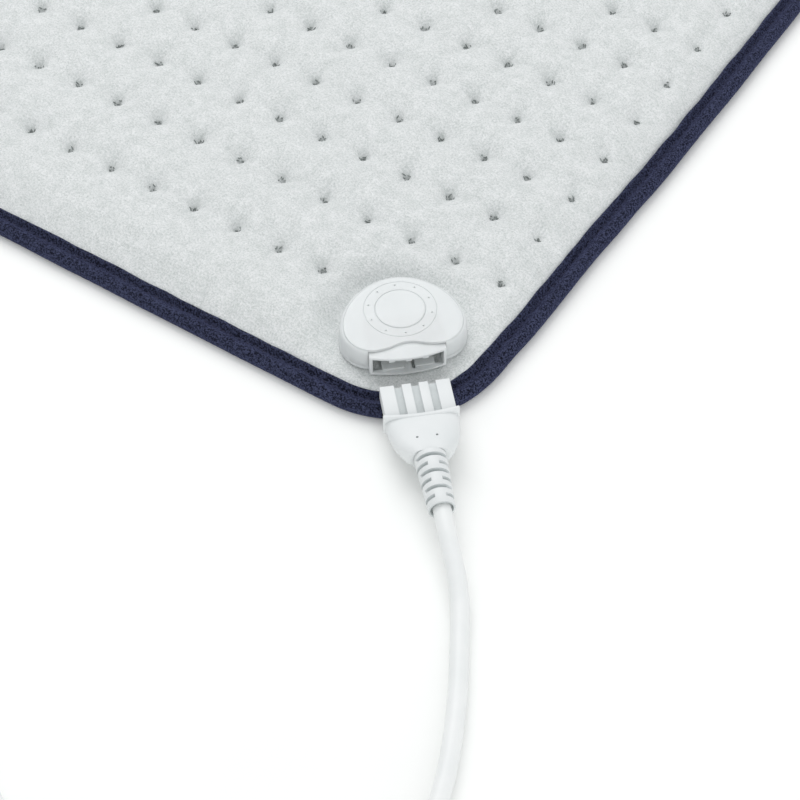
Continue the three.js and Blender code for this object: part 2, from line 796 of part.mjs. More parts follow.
function plugBody() {
  const placeShares = [0, 0.3, 0.52, 0.7, 0.86, 1];
  const widthShares = [1, 0.985, 0.93, 0.8, 0.6, 0.46];
  const heightShares = [0.92, 1, 1.05, 1.1, 1.12, 1.14];
  const start = noseLength + (flangeThickness + flangeBow) / 2;
  const sections = placeShares.map((share, i) => [
    start + share * (reliefStart - seatGap - start),
    (widthShares[i] * flangeWidth) / 2 - seatGap,
    (heightShares[i] * flangeHeight) / 2,
  ]);
  const outline = bowedPlate(noseLength, flangeBack, flangeWidth, flangeBow, flangeBow);
  const flange = raised(outline, -flangeHeight / 2, flangeHeight / 2);
  const grip = lofted(sections, plugSquareness, mediumSides, flangeHeight / 2);
  return surface(solid(grip).add(solid(flange)));
}

// Strain relief: a tapered sleeve with ring slots round its core, bridged in turn at the sides and
// above and below; its underside may be cut level at a depth
function slottedRelief(startDiameter, endDiameter, length, slots, depth = startDiameter) {
  const [startRadius, endRadius] = [startDiameter / 2, endDiameter / 2];
  const boreRadius = cordDiameter / 2 + seatGap;
  const profile = [
    [0, 0],
    [0, startRadius],
    [length, endRadius],
    [length, boreRadius],
    [length - collarDepth, boreRadius],
    [length - collarDepth, 0],
  ];
  const reach = startDiameter;
  const core = solid(rod(0, length, 0, 0, 2 * boreRadius, reliefSides));
  const underside = block([-overrun, -reach, -2 * reach], [length + overrun, reach, -depth]);
  let relief = solid(turned(profile, reliefSides)).subtract(solid(underside));
  const pitch = (length - collarDepth) / slots;
  for (let i = 0; i < slots; i += 1) {
    const x0 = pitch * (i + 0.5);
    const x1 = x0 + reliefSlotWidth;
    const [wide, high] = i % 2 === 0 ? [reach, reliefBridge / 2] : [reliefBridge / 2, reach];
    const slot = solid(block([x0, -reach, -reach], [x1, reach, reach]))
      .subtract(core)
      .subtract(solid(block([x0 - overrun, -wide, -high], [x1 + overrun, wide, high])));
    relief = relief.subtract(slot);
  }
  return surface(relief);
}

piece(plug, 'plug_nose', plugNose(), whitePlastic());
piece(plug, 'plug_body', plugBody(), whitePlastic());
[-1, 0, 1].forEach((side, i) => {
  const profile = [
    [seatGap, contactDiameter / 2 + seatGap / 2],
    [seatGap, sleeveDiameter / 2],
    [contactBoreDepth, sleeveDiameter / 2],
    [contactBoreDepth, contactDiameter / 2 + seatGap / 2],
    [seatGap, contactDiameter / 2 + seatGap / 2],
  ];
  const sleeve = turned(profile, thinSides).translate(0, side * contactPitch, 0);
  piece(plug, `plug_contact_${i + 1}`, sleeve, finish(0xc8b06a, 0.3, 0.9));
});
const plugRelief = slottedRelief(
  reliefStartDiameter,
  reliefEndDiameter,
  plugReliefLength,
  reliefSlots,
  flangeHeight / 2,
);
piece(plug, 'plug_relief', plugRelief.translate(reliefStart, 0, 0), whitePlastic());

// Pad lead: from the plug down to the table, round in a wide bow and into the hand controller
const padLeadRoute = [
  [223.4, -179.8, 9.4],
  [225.2, -181.7, 9.4],
  [229.4, -186.4, 9.1],
  [234.3, -191.4, 7.8],
  [239.6, -196.8, 5.8],
  [244.9, -203.4, 4.0],
  [249.7, -210.9, 3.1],
  [254.5, -219.0, 2.9],
  [260.0, -228.4, 2.9],
  [267.0, -242.0, 2.9],
  [273.8, -258.0, 2.9],
  [278.6, -276.0, 2.9],
  [278.4, -296.0, 2.9],
  [270.4, -314.6, 2.9],
  [254.4, -329.6, 2.9],
  [231.6, -339.4, 2.9],
  [205.0, -341.4, 2.9],
  [179.0, -335.4, 2.9],
  [156.6, -321.6, 2.9],
  [138.0, -302.0, 3.2],
  [121.4, -281.4, 5.4],
  [106.0, -267.2, 8.6],
  [96.0, -262.8, 10.6],
  [88.6, -262.0, 11.0],
];
piece(heatingPad, 'pad_lead', cordAlong(padLeadRoute), finish(cordWhite, 0.5));

// Hand controller: two shells that part at half height, screwed together through the board
const handset = new THREE.Group();
handset.position.set(handsetCentre[0], handsetCentre[1], 0);
heatingPad.add(handset);

const splitLevel = handsetHeight / 2;
const lowerTop = splitLevel - seatGap / 2;
const upperBottom = splitLevel + seatGap / 2;
const boardTop = splitLevel - seatGap;
const boardBottom = boardTop - boardThickness;
const handsetOutline = () => roundedRectangle(handsetLength, handsetWidth, handsetCornerRadius);
const handsetInside = () =>
  roundedRectangle(
    handsetLength - 2 * handsetWall,
    handsetWidth - 2 * handsetWall,
    handsetCornerRadius - handsetWall,
  );
const handsetScrewX = handsetLength / 2 - handsetScrewInset;
const handsetScrewPlaces = [
  [-handsetScrewX, -handsetScrewY],
  [handsetScrewX, -handsetScrewY],
  [handsetScrewX, handsetScrewY],
  [-handsetScrewX, handsetScrewY],
];
const screwSeat = 2 * handsetWall - seatGap;
const screwTip = screwSeat - screwHeadHeight + handsetScrewLength;
const neckHole = rod(-handsetLength, handsetLength, 0, splitLevel, handsetReliefNeck + 2 * seatGap);
const sideBlock = (z0, z1) =>
  block([-handsetLength, -handsetWidth, z0], [handsetLength, handsetWidth, z1]);

function lowerShell() {
  const whole = raised(handsetOutline(), 0, handsetHeight, handsetFootBevel);
  let shell = solid(whole).subtract(solid(sideBlock(lowerTop, handsetHeight + overrun)));
  shell = shell.subtract(solid(raised(handsetInside(), handsetWall, handsetHeight)));
  handsetScrewPlaces.forEach(([x, y]) => {
    const support = post(x, y, handsetWall - overrun, boardBottom - seatGap, handsetBossDiameter);
    shell = shell.add(solid(support));
  });
  handsetScrewPlaces.forEach(([x, y]) => {
    const headRoom = screwHeadDiameter + 2 * seatGap;
    shell = shell.subtract(solid(post(x, y, -overrun, screwSeat + seatGap, headRoom)));
    shell = shell.subtract(solid(post(x, y, -overrun, splitLevel, shaftHole, holeSides)));
  });
  return surface(shell.subtract(solid(neckHole)));
}

const slotLength = sliderTravel + stemLength + 2 * seatGap;
const recessTop = handsetHeight - sliderRecessDepth;
const upperRoof = handsetHeight - handsetWall - sliderRecessDepth;
const lampOutline = (extra) => {
  const [length, width] = [lampLength + extra, lampWidth + extra];
  return roundedRectangle(length, width, width / 2);
};

function upperShell() {
  const whole = raised(handsetOutline(), 0, handsetHeight, handsetTopBevel);
  let shell = solid(whole).subtract(solid(sideBlock(-overrun, upperBottom)));
  shell = shell.subtract(solid(raised(handsetInside(), upperBottom - overrun, upperRoof)));
  handsetScrewPlaces.forEach(([x, y]) => {
    const boss = post(x, y, boardTop + seatGap, upperRoof + overrun, handsetBossDiameter);
    shell = shell.add(solid(boss));
    const pilot = post(x, y, boardTop - overrun, screwTip + seatGap, shaftHole, holeSides);
    shell = shell.subtract(solid(pilot));
  });
  const above = handsetHeight + overrun;
  const recessHalf = (sliderTravel + sliderLength) / 2 + seatGap;
  const recess = block(
    [sliderCentre - recessHalf, -sliderWidth / 2 - seatGap, recessTop],
    [sliderCentre + recessHalf, sliderWidth / 2 + seatGap, above],
  );
  const slot = block(
    [sliderCentre - slotLength / 2, -stemWidth / 2 - seatGap, 0],
    [sliderCentre + slotLength / 2, stemWidth / 2 + seatGap, handsetHeight],
  );
  const buttonHole = post(buttonCentre, 0, 0, above, buttonDiameter + 2 * seatGap, mediumSides);
  const lampHole = raised(lampOutline(2 * seatGap), 0, above, 0, 3).translate(lampCentre, 0, 0);
  return surface(
    shell
      .subtract(solid(recess))
      .subtract(solid(slot))
      .subtract(solid(buttonHole))
      .subtract(solid(lampHole))
      .subtract(solid(neckHole)),
  );
}

piece(handset, 'handset_lower_shell', lowerShell(), whitePlastic());
piece(handset, 'handset_upper_shell', upperShell(), whitePlastic());

// Circuit board and what is soldered to it
function board() {
  const outline = roundedRectangle(
    handsetLength - 2 * (2 * handsetWall + boardInset),
    handsetWidth - 2 * (handsetWall + boardInset),
    handsetCornerRadius - 2 * handsetWall,
  );
  let plate = solid(raised(outline, boardBottom, boardTop, 0, 4));
  handsetScrewPlaces.forEach(([x, y]) => {
    plate = plate.subtract(solid(post(x, y, 0, handsetHeight, shaftHole, holeSides)));
  });
  return surface(plate);
}

const partLevel = boardTop + seatGap;
piece(handset, 'circuit_board', board(), finish(0x2f6b45, 0.5));
piece(
  handset,
  'level_switch',
  block(
    [sliderCentre - slotLength / 2 - stemWidth, -stemWidth, partLevel],
    [sliderCentre + slotLength / 2 + stemWidth, stemWidth, partLevel + levelSwitchHeight],
  ),
  finish(0x33373a, 0.5),
);
piece(
  handset,
  'button_switch',
  block(
    [buttonCentre - buttonSwitchSize / 2, -buttonSwitchSize / 2, partLevel],
    [buttonCentre + buttonSwitchSize / 2, buttonSwitchSize / 2, partLevel + buttonSwitchHeight],
  ),
  finish(0x33373a, 0.5),
);
const fuseProfile = [
  [-fuseLength / 2, 0],
  [-fuseLength / 2, fuseDiameter / 2],
  [fuseLength / 2, fuseDiameter / 2],
  [fuseLength / 2, 0],
];
const fuse = turned(fuseProfile, coarseSides);
piece(
  handset,
  'fuse',
  fuse.translate(sliderCentre, fusePlace, partLevel + fuseDiameter / 2),
  finish(0xcfd6d2, 0.25),
);
piece(
  handset,
  'lamp',
  post(lampCentre, 0, partLevel, upperRoof - 2 * seatGap, lampWidth - 2 * seatGap),
  finish(0xd8dcc0, 0.3),
);

// Lamp window: a clear slug flush with the top of the shell
const lampWindow = raised(lampOutline(0), upperRoof - seatGap, handsetHeight, 0, 3);
piece(handset, 'lamp_window', lampWindow.translate(lampCentre, 0, 0), finish(0xf0b26a, 0.2));

handsetScrewPlaces.forEach(([x, y], i) => {
  const body = screw(screwHeadDiameter, screwHeadHeight, screwDiameter, handsetScrewLength);
  const placed = body.translate(x, y, screwSeat - screwHeadHeight);
  piece(handset, `handset_screw_${i + 1}`, placed, finish(0x9a9ea1, 0.3, 0.9));
});

// Level slider: a ridged knob in the recess, its stem down to the switch; shown at level 0
function levelSlider() {
  const start = sliderCentre - sliderTravel / 2;
  const bottom = recessTop + seatGap;
  const top = handsetHeight + sliderRise;
  const outline = roundedRectangle(sliderLength, sliderWidth, sliderWidth / 6);
  let knob = solid(raised(outline, bottom, top, sliderRise / 4, 2));
  const stemBottom = partLevel + levelSwitchHeight + seatGap;
  const stem = block(
    [-stemLength / 2, -stemWidth / 2, stemBottom],
    [stemLength / 2, stemWidth / 2, handsetHeight],
  );
  knob = knob.add(solid(stem));
  [-1, 0, 1].forEach((side) => {
    const x = (side * sliderLength) / 5;
    const groove = block(
      [x - seatGap, -sliderWidth, top - 2 * seatGap],
      [x + seatGap, sliderWidth, top + overrun],
    );
    knob = knob.subtract(solid(groove));
  });
  return surface(knob).translate(start, 0, 0);
}

// Power button: a domed cap held from below by its flange, over the small switch
function powerButton() {
  const top = handsetHeight + buttonRise;
  const flangeTop = upperRoof - seatGap;
  const bottom = partLevel + buttonSwitchHeight + buttonTravel + seatGap;
  const profile = [
    [bottom, 0],
    [bottom, buttonDiameter / 4],
    [flangeTop - buttonFlange, buttonDiameter / 4],
    [flangeTop - buttonFlange, buttonDiameter / 2 + buttonFlange],
    [flangeTop, buttonDiameter / 2 + buttonFlange],
    [flangeTop, buttonDiameter / 2],
    [top - buttonRise / 3, buttonDiameter / 2],
    [top, buttonDiameter / 2 - buttonRise / 2],
    [top, 0],
  ];
  const points = profile.map(([z, r]) => new THREE.Vector2(r, z));
  return new THREE.LatheGeometry(points, mediumSides).rotateX(Math.PI / 2).translate(buttonCentre, 0, 0);
}

piece(handset, 'level_slider', levelSlider(), finish(0x1f2548, 0.5));
piece(handset, 'power_button', powerButton(), finish(0xd5dadb, 0.5));

// Strain reliefs at both ends of the hand controller, each keyed in the wall by a flange
function handsetRelief() {
  const [neck, wall] = [handsetReliefNeck / 2, handsetWall + 2 * seatGap];
  const boreRadius = cordDiameter / 2 + seatGap;
  const profile = [
    [-wall - handsetWall, 0],
    [-wall - handsetWall, neck + handsetWall / 2],
    [-wall, neck + handsetWall / 2],
    [-wall, neck],
    [0, neck],
    [0, reliefStartDiameter / 2],
  ];
  const ribs = 5;
  const pitch = (handsetReliefLength - collarDepth) / ribs;
  const taper = (reliefStartDiameter - reliefEndDiameter) / 2 / handsetReliefLength;
  const radiusAt = (x) => reliefStartDiameter / 2 - taper * x;
  const slotRadius = boreRadius + seatGap;
  for (let i = 0; i < ribs; i += 1) {
    const x0 = pitch * (i + 0.6);
    const x1 = x0 + reliefSlotWidth;
    profile.push([x0, radiusAt(x0)], [x0, slotRadius], [x1, slotRadius], [x1, radiusAt(x1)]);
  }
  profile.push(
    [handsetReliefLength, reliefEndDiameter / 2],
    [handsetReliefLength, boreRadius],
    [handsetReliefLength - collarDepth / 2, boreRadius],
    [handsetReliefLength - collarDepth / 2, 0],
  );
  return turned(profile, coarseSides);
}

const reliefPlace = handsetLength / 2 + seatGap;
const padLeadRelief = handsetRelief().translate(reliefPlace, 0, splitLevel);
const mainsLeadRelief = handsetRelief().rotateZ(Math.PI).translate(-reliefPlace, 0, splitLevel);
piece(handset, 'pad_lead_relief', padLeadRelief, whitePlastic());
piece(handset, 'mains_lead_relief', mainsLeadRelief, whitePlastic());

// Mains lead: a straight stretch down to the table and into the outside of the coil
const coilCentre = [coilPlace, handsetCentre[1] + coilOuterRadius];
const mainsLeadRoute = [
  [-78.6, -262.0, 11.0],
  [-86.0, -262.0, 10.7],
  [-97.0, -262.0, 9.0],
  [-109.0, -262.0, 6.6],
  [-120.0, -262.0, 4.6],
  [-127.0, -262.0, 4.1],
  [-128.9, -262.0, 4.0],
];
piece(heatingPad, 'mains_lead', cordAlong(mainsLeadRoute), finish(cordWhite, 0.5));

// Coil: the lead winds inwards on the table and outwards again on top of that, clockwise
function coilPoints() {
  const steps = coilTurns * coilStepsPerTurn;
  const half = steps / coilLayers;
  const climbSteps = coilStepsPerTurn / 2;
  const [cx, cy] = coilCentre;
  const points = [];
  for (let i = 0; i <= steps; i += 1) {
    const angle = -Math.PI / 2 - (i * 2 * Math.PI) / coilStepsPerTurn;
    const inward = Math.abs(i - half) / coilStepsPerTurn;
    const radius = coilInnerRadius + coilPitch * inward;
    const climb = THREE.MathUtils.smoothstep(i, half - climbSteps / 2, half + climbSteps / 2);
    points.push(
      new THREE.Vector3(
        cx + radius * Math.cos(angle),
        cy + radius * Math.sin(angle),
        coilLevel + coilPitch * climb,
      ),
    );
  }
  const first = points[0].clone().setX(points[0].x + cordDiameter);
  const last = points[points.length - 1].clone();
  last.setX(last.x + cordDiameter);
  return [first, ...points, last];
}

// Least distance between turns, measured on points that are not neighbours along the cord
function leastSelfGap(points) {
  const skip = coilStepsPerTurn / 2;
  let least = Infinity;
  points.forEach((p, i) => {
    for (let j = i + skip; j < points.length; j += 1) least = Math.min(least, p.distanceTo(points[j]));
  });
  return least - cordDiameter;
}

const windings = coilPoints();
console.log('least gap of the coil to itself, mm:', leastSelfGap(windings).toFixed(2));
piece(heatingPad, 'mains_coil', levelTube(windings, cordDiameter, coilSides), finish(cordWhite, 0.5));

// Tie: a flat strap closed round the bundle of turns
function coilTie() {
  const bow = (radius) => radius - Math.sqrt(radius ** 2 - (tieWidth / 2) ** 2);
  const inner = coilInnerRadius - cordDiameter / 2;
  const low = inner - bow(inner) - seatGap;
  const high = coilOuterRadius + cordDiameter / 2 + seatGap;
  const top = coilLevel + coilPitch * (coilLayers - 1) + cordDiameter / 2 + seatGap;
  const outside = block(
    [low - tieThickness, -tieWidth / 2, 0],
    [high + tieThickness, tieWidth / 2, top + tieThickness],
  );
  const strap = solid(outside);
  const bundle = solid(block([low, -tieWidth, tieThickness], [high, tieWidth, top]));
  const tieAngle = Math.PI;
  return surface(strap.subtract(bundle)).rotateZ(tieAngle).translate(...coilCentre, 0);
}

piece(heatingPad, 'coil_tie', coilTie(), finish(0x2b2e31, 0.7));

// Last stretch of the mains lead, off the top of the coil and down to the plug
const mainsTailRoute = [
  [-128.9, -167.6, 10.4],
  [-122.0, -167.7, 10.4],
  [-110.0, -169.4, 9.8],
  [-96.0, -174.2, 8.6],
  [-82.0, -180.6, 7.6],
  [-70.0, -185.6, 7.1],
  [-62.3, -187.9, 7.0],
];
piece(heatingPad, 'mains_tail', cordAlong(mainsTailRoute), finish(cordWhite, 0.5));

// Mains plug: flat two-pin plug lying on its broad side
const mainsPlug = new THREE.Group();
mainsPlug.position.set(mainsPlugStart[0], mainsPlugStart[1], mainsBodyHeight / 2);
mainsPlug.rotation.z = THREE.MathUtils.degToRad(mainsPlugHeading);
heatingPad.add(mainsPlug);

function mainsRelief() {
  return slottedRelief(reliefStartDiameter, reliefEndDiameter, mainsReliefLength, reliefSlots)
    .rotateZ(Math.PI)
    .translate(mainsReliefLength, 0, 0);
}

function mainsPlugBody() {
  const placeShares = [0, 0.12, 0.34, 0.56, 0.8, 1];
  const widthShares = [0.38, 0.5, 0.66, 0.84, 1, 1];
  const heightShares = [0.86, 0.94, 1, 1, 1, 0.96];
  const sections = placeShares.map((share, i) => [
    mainsReliefLength + seatGap + share * mainsBodyLength,
    (widthShares[i] * mainsBodyWidth) / 2,
    (heightShares[i] * mainsBodyHeight) / 2,
  ]);
  return lofted(sections, mainsPlugSquareness, mediumSides);
}

piece(mainsPlug, 'mains_plug_relief', mainsRelief(), whitePlastic());
piece(mainsPlug, 'mains_plug_body', mainsPlugBody(), whitePlastic());
[-1, 1].forEach((side, i) => {
  const start = mainsReliefLength + mainsBodyLength + 2 * seatGap;
  const radius = mainsPinDiameter / 2;
  const profile = [
    [start, 0],
    [start, radius],
    [start + mainsPinLength - radius, radius],
    [start + mainsPinLength, radius / 2],
    [start + mainsPinLength, 0],
  ];
  const pin = turned(profile, coarseSides).translate(0, (side * mainsPinPitch) / 2, 0);
  piece(mainsPlug, `mains_pin_${i + 1}`, pin, finish(0xc5c9cc, 0.25, 0.9));
});

export default heatingPad;
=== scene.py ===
import math
import random

import bmesh
import bpy
from mathutils import Matrix, Vector, noise


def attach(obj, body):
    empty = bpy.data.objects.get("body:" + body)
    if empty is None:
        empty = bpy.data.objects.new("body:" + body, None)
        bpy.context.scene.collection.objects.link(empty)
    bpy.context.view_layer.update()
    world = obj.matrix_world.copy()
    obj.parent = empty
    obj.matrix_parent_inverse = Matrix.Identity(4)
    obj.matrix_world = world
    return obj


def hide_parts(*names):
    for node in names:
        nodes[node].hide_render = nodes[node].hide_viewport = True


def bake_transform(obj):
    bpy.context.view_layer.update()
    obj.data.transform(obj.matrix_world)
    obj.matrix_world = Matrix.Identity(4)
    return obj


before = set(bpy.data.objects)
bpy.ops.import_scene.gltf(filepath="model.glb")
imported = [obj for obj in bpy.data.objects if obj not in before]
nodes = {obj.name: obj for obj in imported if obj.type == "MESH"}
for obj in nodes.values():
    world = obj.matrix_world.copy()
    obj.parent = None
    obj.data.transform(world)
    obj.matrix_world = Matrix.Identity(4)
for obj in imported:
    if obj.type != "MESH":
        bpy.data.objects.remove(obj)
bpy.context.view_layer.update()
mm = 0.001

# Camera. It looks down on the pad's corner with the socket, from in front of the pad and to its
# right, through a long lens, as the photograph was taken.
camera_place = Vector((472.3, -588.9, 632.9)) * mm
camera_aim = Vector((186.3, -145.1, 0)) * mm
lens_length = 117


def aimed(place):
    """The turn with which a camera or a light at a place looks at the socket's corner."""
    return (camera_aim - place).to_track_quat("-Z", "Y").to_euler()


bpy.ops.object.select_all(action="DESELECT")
bpy.ops.object.camera_add(location=camera_place, rotation=aimed(camera_place))
bpy.context.scene.camera = bpy.context.object
bpy.context.scene.camera.data.lens = lens_length

# Table and light. The pad lies on a plain white table under a large soft light from behind and
# from the left, with white walls all round and a weak reflector in front, so its shadow is a
# narrow soft rim.


def linear(code):
    """An sRGB hex code as a linear colour."""
    shares = [int(code[i : i + 2], 16) / 255 for i in (1, 3, 5)]
    return (*[s / 12.92 if s <= 0.04045 else ((s + 0.055) / 1.055) ** 2.4 for s in shares], 1)


def add_node(tree, kind, values, **settings):
    """Adds a shader node. A value is a number, a colour or the socket that feeds the input."""
    made = tree.nodes.new("ShaderNode" + kind)
    for name, setting in settings.items():
        setattr(made, name, setting)
    for name, value in values.items():
        if isinstance(value, bpy.types.NodeSocket):
            tree.links.new(value, made.inputs[name])
        else:
            made.inputs[name].default_value = value
    return made


def new_material(name, **values):
    """A material, its nodes and a place on the piece, for its patterns. The values are the
    shader's; underscores stand for spaces."""
    made = bpy.data.materials.new(name)
    made.use_nodes = True
    shader = made.node_tree.nodes["Principled BSDF"]
    for key, value in values.items():
        shader.inputs[key.replace("_", " ")].default_value = value
    return made, made.node_tree, add_node(made.node_tree, "TexCoord", {}).outputs["Object"]


def dress(tree, share, tones, height=None, depth=0, strength=1, spread=0.2):
    """Colours a material between two tones by one pattern and embosses it by another, to a depth
    in metres; a smaller spread parts the tones more sharply."""
    shader = tree.nodes["Principled BSDF"]
    ramp = add_node(tree, "ValToRGB", {"Fac": share})
    for stop, position, tone in zip(ramp.color_ramp.elements, (0.5 - spread, 0.5 + spread), tones):
        stop.position = position
        stop.color = linear(tone)
    tree.links.new(ramp.outputs["Color"], shader.inputs["Base Color"])
    if height:
        bump = add_node(tree, "Bump", {"Height": height, "Distance": depth, "Strength": strength})
        tree.links.new(bump.outputs["Normal"], shader.inputs["Normal"])


def finish(name, low, high, patch, mark=None, depth=0, detail=2, mark_detail=2, **values):
    """A material in two near tones over soft patches, embossed with finer marks; the sizes of both
    and the depth are in metres."""
    made, tree, place = new_material(name, **values)
    share = add_node(tree, "TexNoise", {"Vector": place, "Scale": 1 / patch, "Detail": detail})
    height = None
    if mark:
        marks = {"Vector": place, "Scale": 1 / mark, "Detail": mark_detail}
        height = add_node(tree, "TexNoise", marks).outputs["Fac"]
    dress(tree, share.outputs["Fac"], (low, high), height, depth)
    return made


def primitive(add, name, scale=(1, 1, 1), **settings):
    """One of Blender's primitives, with its size and place taken into its mesh."""
    bpy.ops.object.select_all(action="DESELECT")
    add(**settings)
    made = bpy.context.object
    made.name = name
    made.scale = scale
    turned = "rotation" in settings
    bpy.ops.object.transform_apply(location=True, rotation=turned, scale=True)
    return made


table = primitive(bpy.ops.mesh.primitive_plane_add, "table", size=6)
# Laminate, pressed and matt: an even white without a highlight.
laminate = finish("white_laminate_matt", "#fcfdfb", "#fefffd", 60 * mm, Roughness=0.7)
table.data.materials.append(laminate)

bpy.context.scene.view_settings.view_transform = "Standard"
room = bpy.data.worlds.new("white_room")
bpy.context.scene.world = room
room.use_nodes = True
walls = room.node_tree.nodes["Background"]
walls.inputs["Color"].default_value = linear("#fcfdff")
walls.inputs["Strength"].default_value = 0.685


def soft_light(place, size, energy):
    """A round soft light, in metres and watts, that looks at the socket's corner."""
    bpy.ops.object.light_add(type="AREA", location=place, rotation=aimed(place))
    made = bpy.context.object.data
    made.shape = "DISK"
    made.size = size
    made.energy = energy


window_place = Vector((-600, 560, 1150)) * mm
reflector_place = Vector((1250, -900, 460)) * mm
soft_light(window_place, size=1.3, energy=11)
soft_light(reflector_place, size=1.2, energy=5.8)

# Pad lead. A round PVC cord, 5.8 mm thick, that leaves the plug, drops to the table and lies in
# one wide bow round to the hand controller. It is extruded, smooth and soft to the eye.
cord_diameter = 5.8 * mm
pad_lead_route = [
    (223.4, -179.8, 9.4), (225.2, -181.7, 9.4), (229.4, -186.4, 9.1),
    (234.3, -191.4, 7.8), (239.6, -196.8, 5.8), (244.9, -203.4, 4),
    (249.7, -210.9, 3.1), (254.5, -219, 2.9), (260, -228.4, 2.9), (267, -242, 2.9),
    (273.8, -258, 2.9), (278.6, -276, 2.9), (278.4, -296, 2.9),
    (270.4, -314.6, 2.9), (254.4, -329.6, 2.9), (231.6, -339.4, 2.9),
    (205, -341.4, 2.9), (179, -335.4, 2.9), (156.6, -321.6, 2.9), (138, -302, 3.2),
    (121.4, -281.4, 5.4), (106, -267.2, 8.6), (96, -262.8, 10.6), (88.6, -262, 11),
]


def through(route, spacing=2 * mm):
    """A smooth line in metres through a route in millimetres, by centripetal spans."""
    points = [Vector(p) * mm for p in route]
    ends = [2 * points[0] - points[1], *points, 2 * points[-1] - points[-2]]
    line = []
    for a, b, c, d in zip(ends, ends[1:], ends[2:], ends[3:]):
        t0 = 0
        t1 = t0 + math.sqrt((b - a).length)
        t2 = t1 + math.sqrt((c - b).length)
        t3 = t2 + math.sqrt((d - c).length)
        steps = max(2, round((c - b).length / spacing))
        for i in range(steps):
            t = t1 + (t2 - t1) * i / steps
            ab = a * (t1 - t) / (t1 - t0) + b * (t - t0) / (t1 - t0)
            bc = b * (t2 - t) / (t2 - t1) + c * (t - t1) / (t2 - t1)
            cd = c * (t3 - t) / (t3 - t2) + d * (t - t2) / (t3 - t2)
            abc = ab * (t2 - t) / (t2 - t0) + bc * (t - t0) / (t2 - t0)
            bcd = bc * (t3 - t) / (t3 - t1) + cd * (t - t1) / (t3 - t1)
            line.append(abc * (t2 - t) / (t2 - t1) + bcd * (t - t1) / (t2 - t1))
    return [*line, points[-1]]


def skin(name, rings, closed=False):
    """A smooth skin over rings of equally many points; its ends are filled, or they meet."""
    count = len(rings[0])
    faces = []
    for i in range(len(rings) if closed else len(rings) - 1):
        a, b = i * count, (i + 1) % len(rings) * count
        faces += [(a + j, a + (j + 1) % count, b + (j + 1) % count, b + j) for j in range(count)]
    if not closed:
        last = (len(rings) - 1) * count
        faces += [tuple(reversed(range(count))), tuple(range(last, last + count))]
    mesh = bpy.data.meshes.new(name)
    mesh.from_pydata([tuple(p) for ring in rings for p in ring], [], faces)
    made = bpy.data.objects.new(name, mesh)
    bpy.context.collection.objects.link(made)
    close_up(made)
    return made


def close_up(piece, gap=0.01 * mm):
    """Merges doubled points and turns every face outwards."""
    work = bmesh.new()
    work.from_mesh(piece.data)
    bmesh.ops.remove_doubles(work, verts=work.verts, dist=gap)
    bmesh.ops.recalc_face_normals(work, faces=work.faces)
    work.to_mesh(piece.data)
    work.free()
    piece.data.update()


def ring_round(line, i, radius, sides):
    """A ring of points round the place i of a line that stays near level."""
    along = (line[min(i + 1, len(line) - 1)] - line[max(i - 1, 0)]).normalized()
    side = Vector((0, 0, 1)).cross(along).normalized()
    top = along.cross(side)
    turns = [2 * math.pi * j / sides for j in range(sides)]
    return [line[i] + (side * math.cos(t) + top * math.sin(t)) * radius for t in turns]


def round_cord(name, line, sides=20):
    """A cord along a line."""
    rings = [ring_round(line, i, cord_diameter / 2, sides) for i in range(len(line))]
    return skin(name, rings)


def pick(piece):
    """Selects one piece alone and makes it the active one."""
    bpy.ops.object.select_all(action="DESELECT")
    piece.select_set(True)
    bpy.context.view_layer.objects.active = piece


def smooth(piece, angle=40):
    """Shades a piece smooth, apart from edges sharper than the angle in degrees."""
    pick(piece)
    bpy.ops.object.shade_smooth_by_angle(angle=math.radians(angle))


def stand_for(piece, slot_name, *replaced):
    """Hides the CAD nodes that a piece stands for; the slot name is not used."""
    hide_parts(*replaced)


pvc_cord = finish(
    "pvc_cord_extruded",
    "#eaedec",
    "#eff1f0",
    9 * mm,
    0.9 * mm,
    0.03 * mm,
    Roughness=0.42,
    Specular_IOR_Level=0.45,
)

pad_lead_line = through(pad_lead_route)
pad_lead = round_cord("pad_lead_cord", pad_lead_line)
smooth(pad_lead)
pad_lead.data.materials.append(pvc_cord)
stand_for(pad_lead, "cord", "pad_lead")

# Mains lead. The same cord from the other end of the hand controller, wound clockwise into a neat
# coil of two layers, inwards on the table and outwards on top, and out again to the mains plug.
mains_lead_route = [
    (-78.6, -262, 11), (-86, -262, 10.7), (-97, -262, 9), (-109, -262, 6.6),
    (-120, -262, 4.6), (-127, -262, 4.1), (-128.9, -262, 4),
]
mains_tail_route = [
    (-128.9, -167.6, 10.4), (-122, -167.7, 10.4), (-110, -169.4, 9.8),
    (-96, -174.2, 8.6), (-82, -180.6, 7.6), (-70, -185.6, 7.1), (-62.3, -187.9, 7),
]
coil_turns = 7.5
coil_steps = 36
coil_inner = 23.2 * mm
coil_pitch = 6.4 * mm
coil_level = 4.0 * mm
coil_outer = coil_inner + coil_pitch * coil_turns / 2
coil_centre = Vector((-135, -262, 0)) * mm + Vector((0, coil_outer, 0))
coil_line = []
half_way = coil_turns * coil_steps / 2
for i in range(int(coil_turns * coil_steps) + 1):
    turned = -math.pi / 2 - 2 * math.pi * i / coil_steps
    reach = coil_inner + coil_pitch * abs(i - half_way) / coil_steps
    share = min(1, max(0, (i - half_way) / (coil_steps / 2) + 0.5))
    rise = coil_level + coil_pitch * share * share * (3 - 2 * share)
    around = Vector((reach * math.cos(turned), reach * math.sin(turned), rise))
    coil_line.append(coil_centre + around)
mains_line = [*through(mains_lead_route), *coil_line, *through(mains_tail_route)]
mains_lead = round_cord("mains_lead_cord", mains_line, sides=14)
smooth(mains_lead)
mains_lead.data.materials.append(pvc_cord)
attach(mains_lead, "pad_set")
stand_for(mains_lead, "cord", "mains_lead", "mains_coil", "mains_tail")

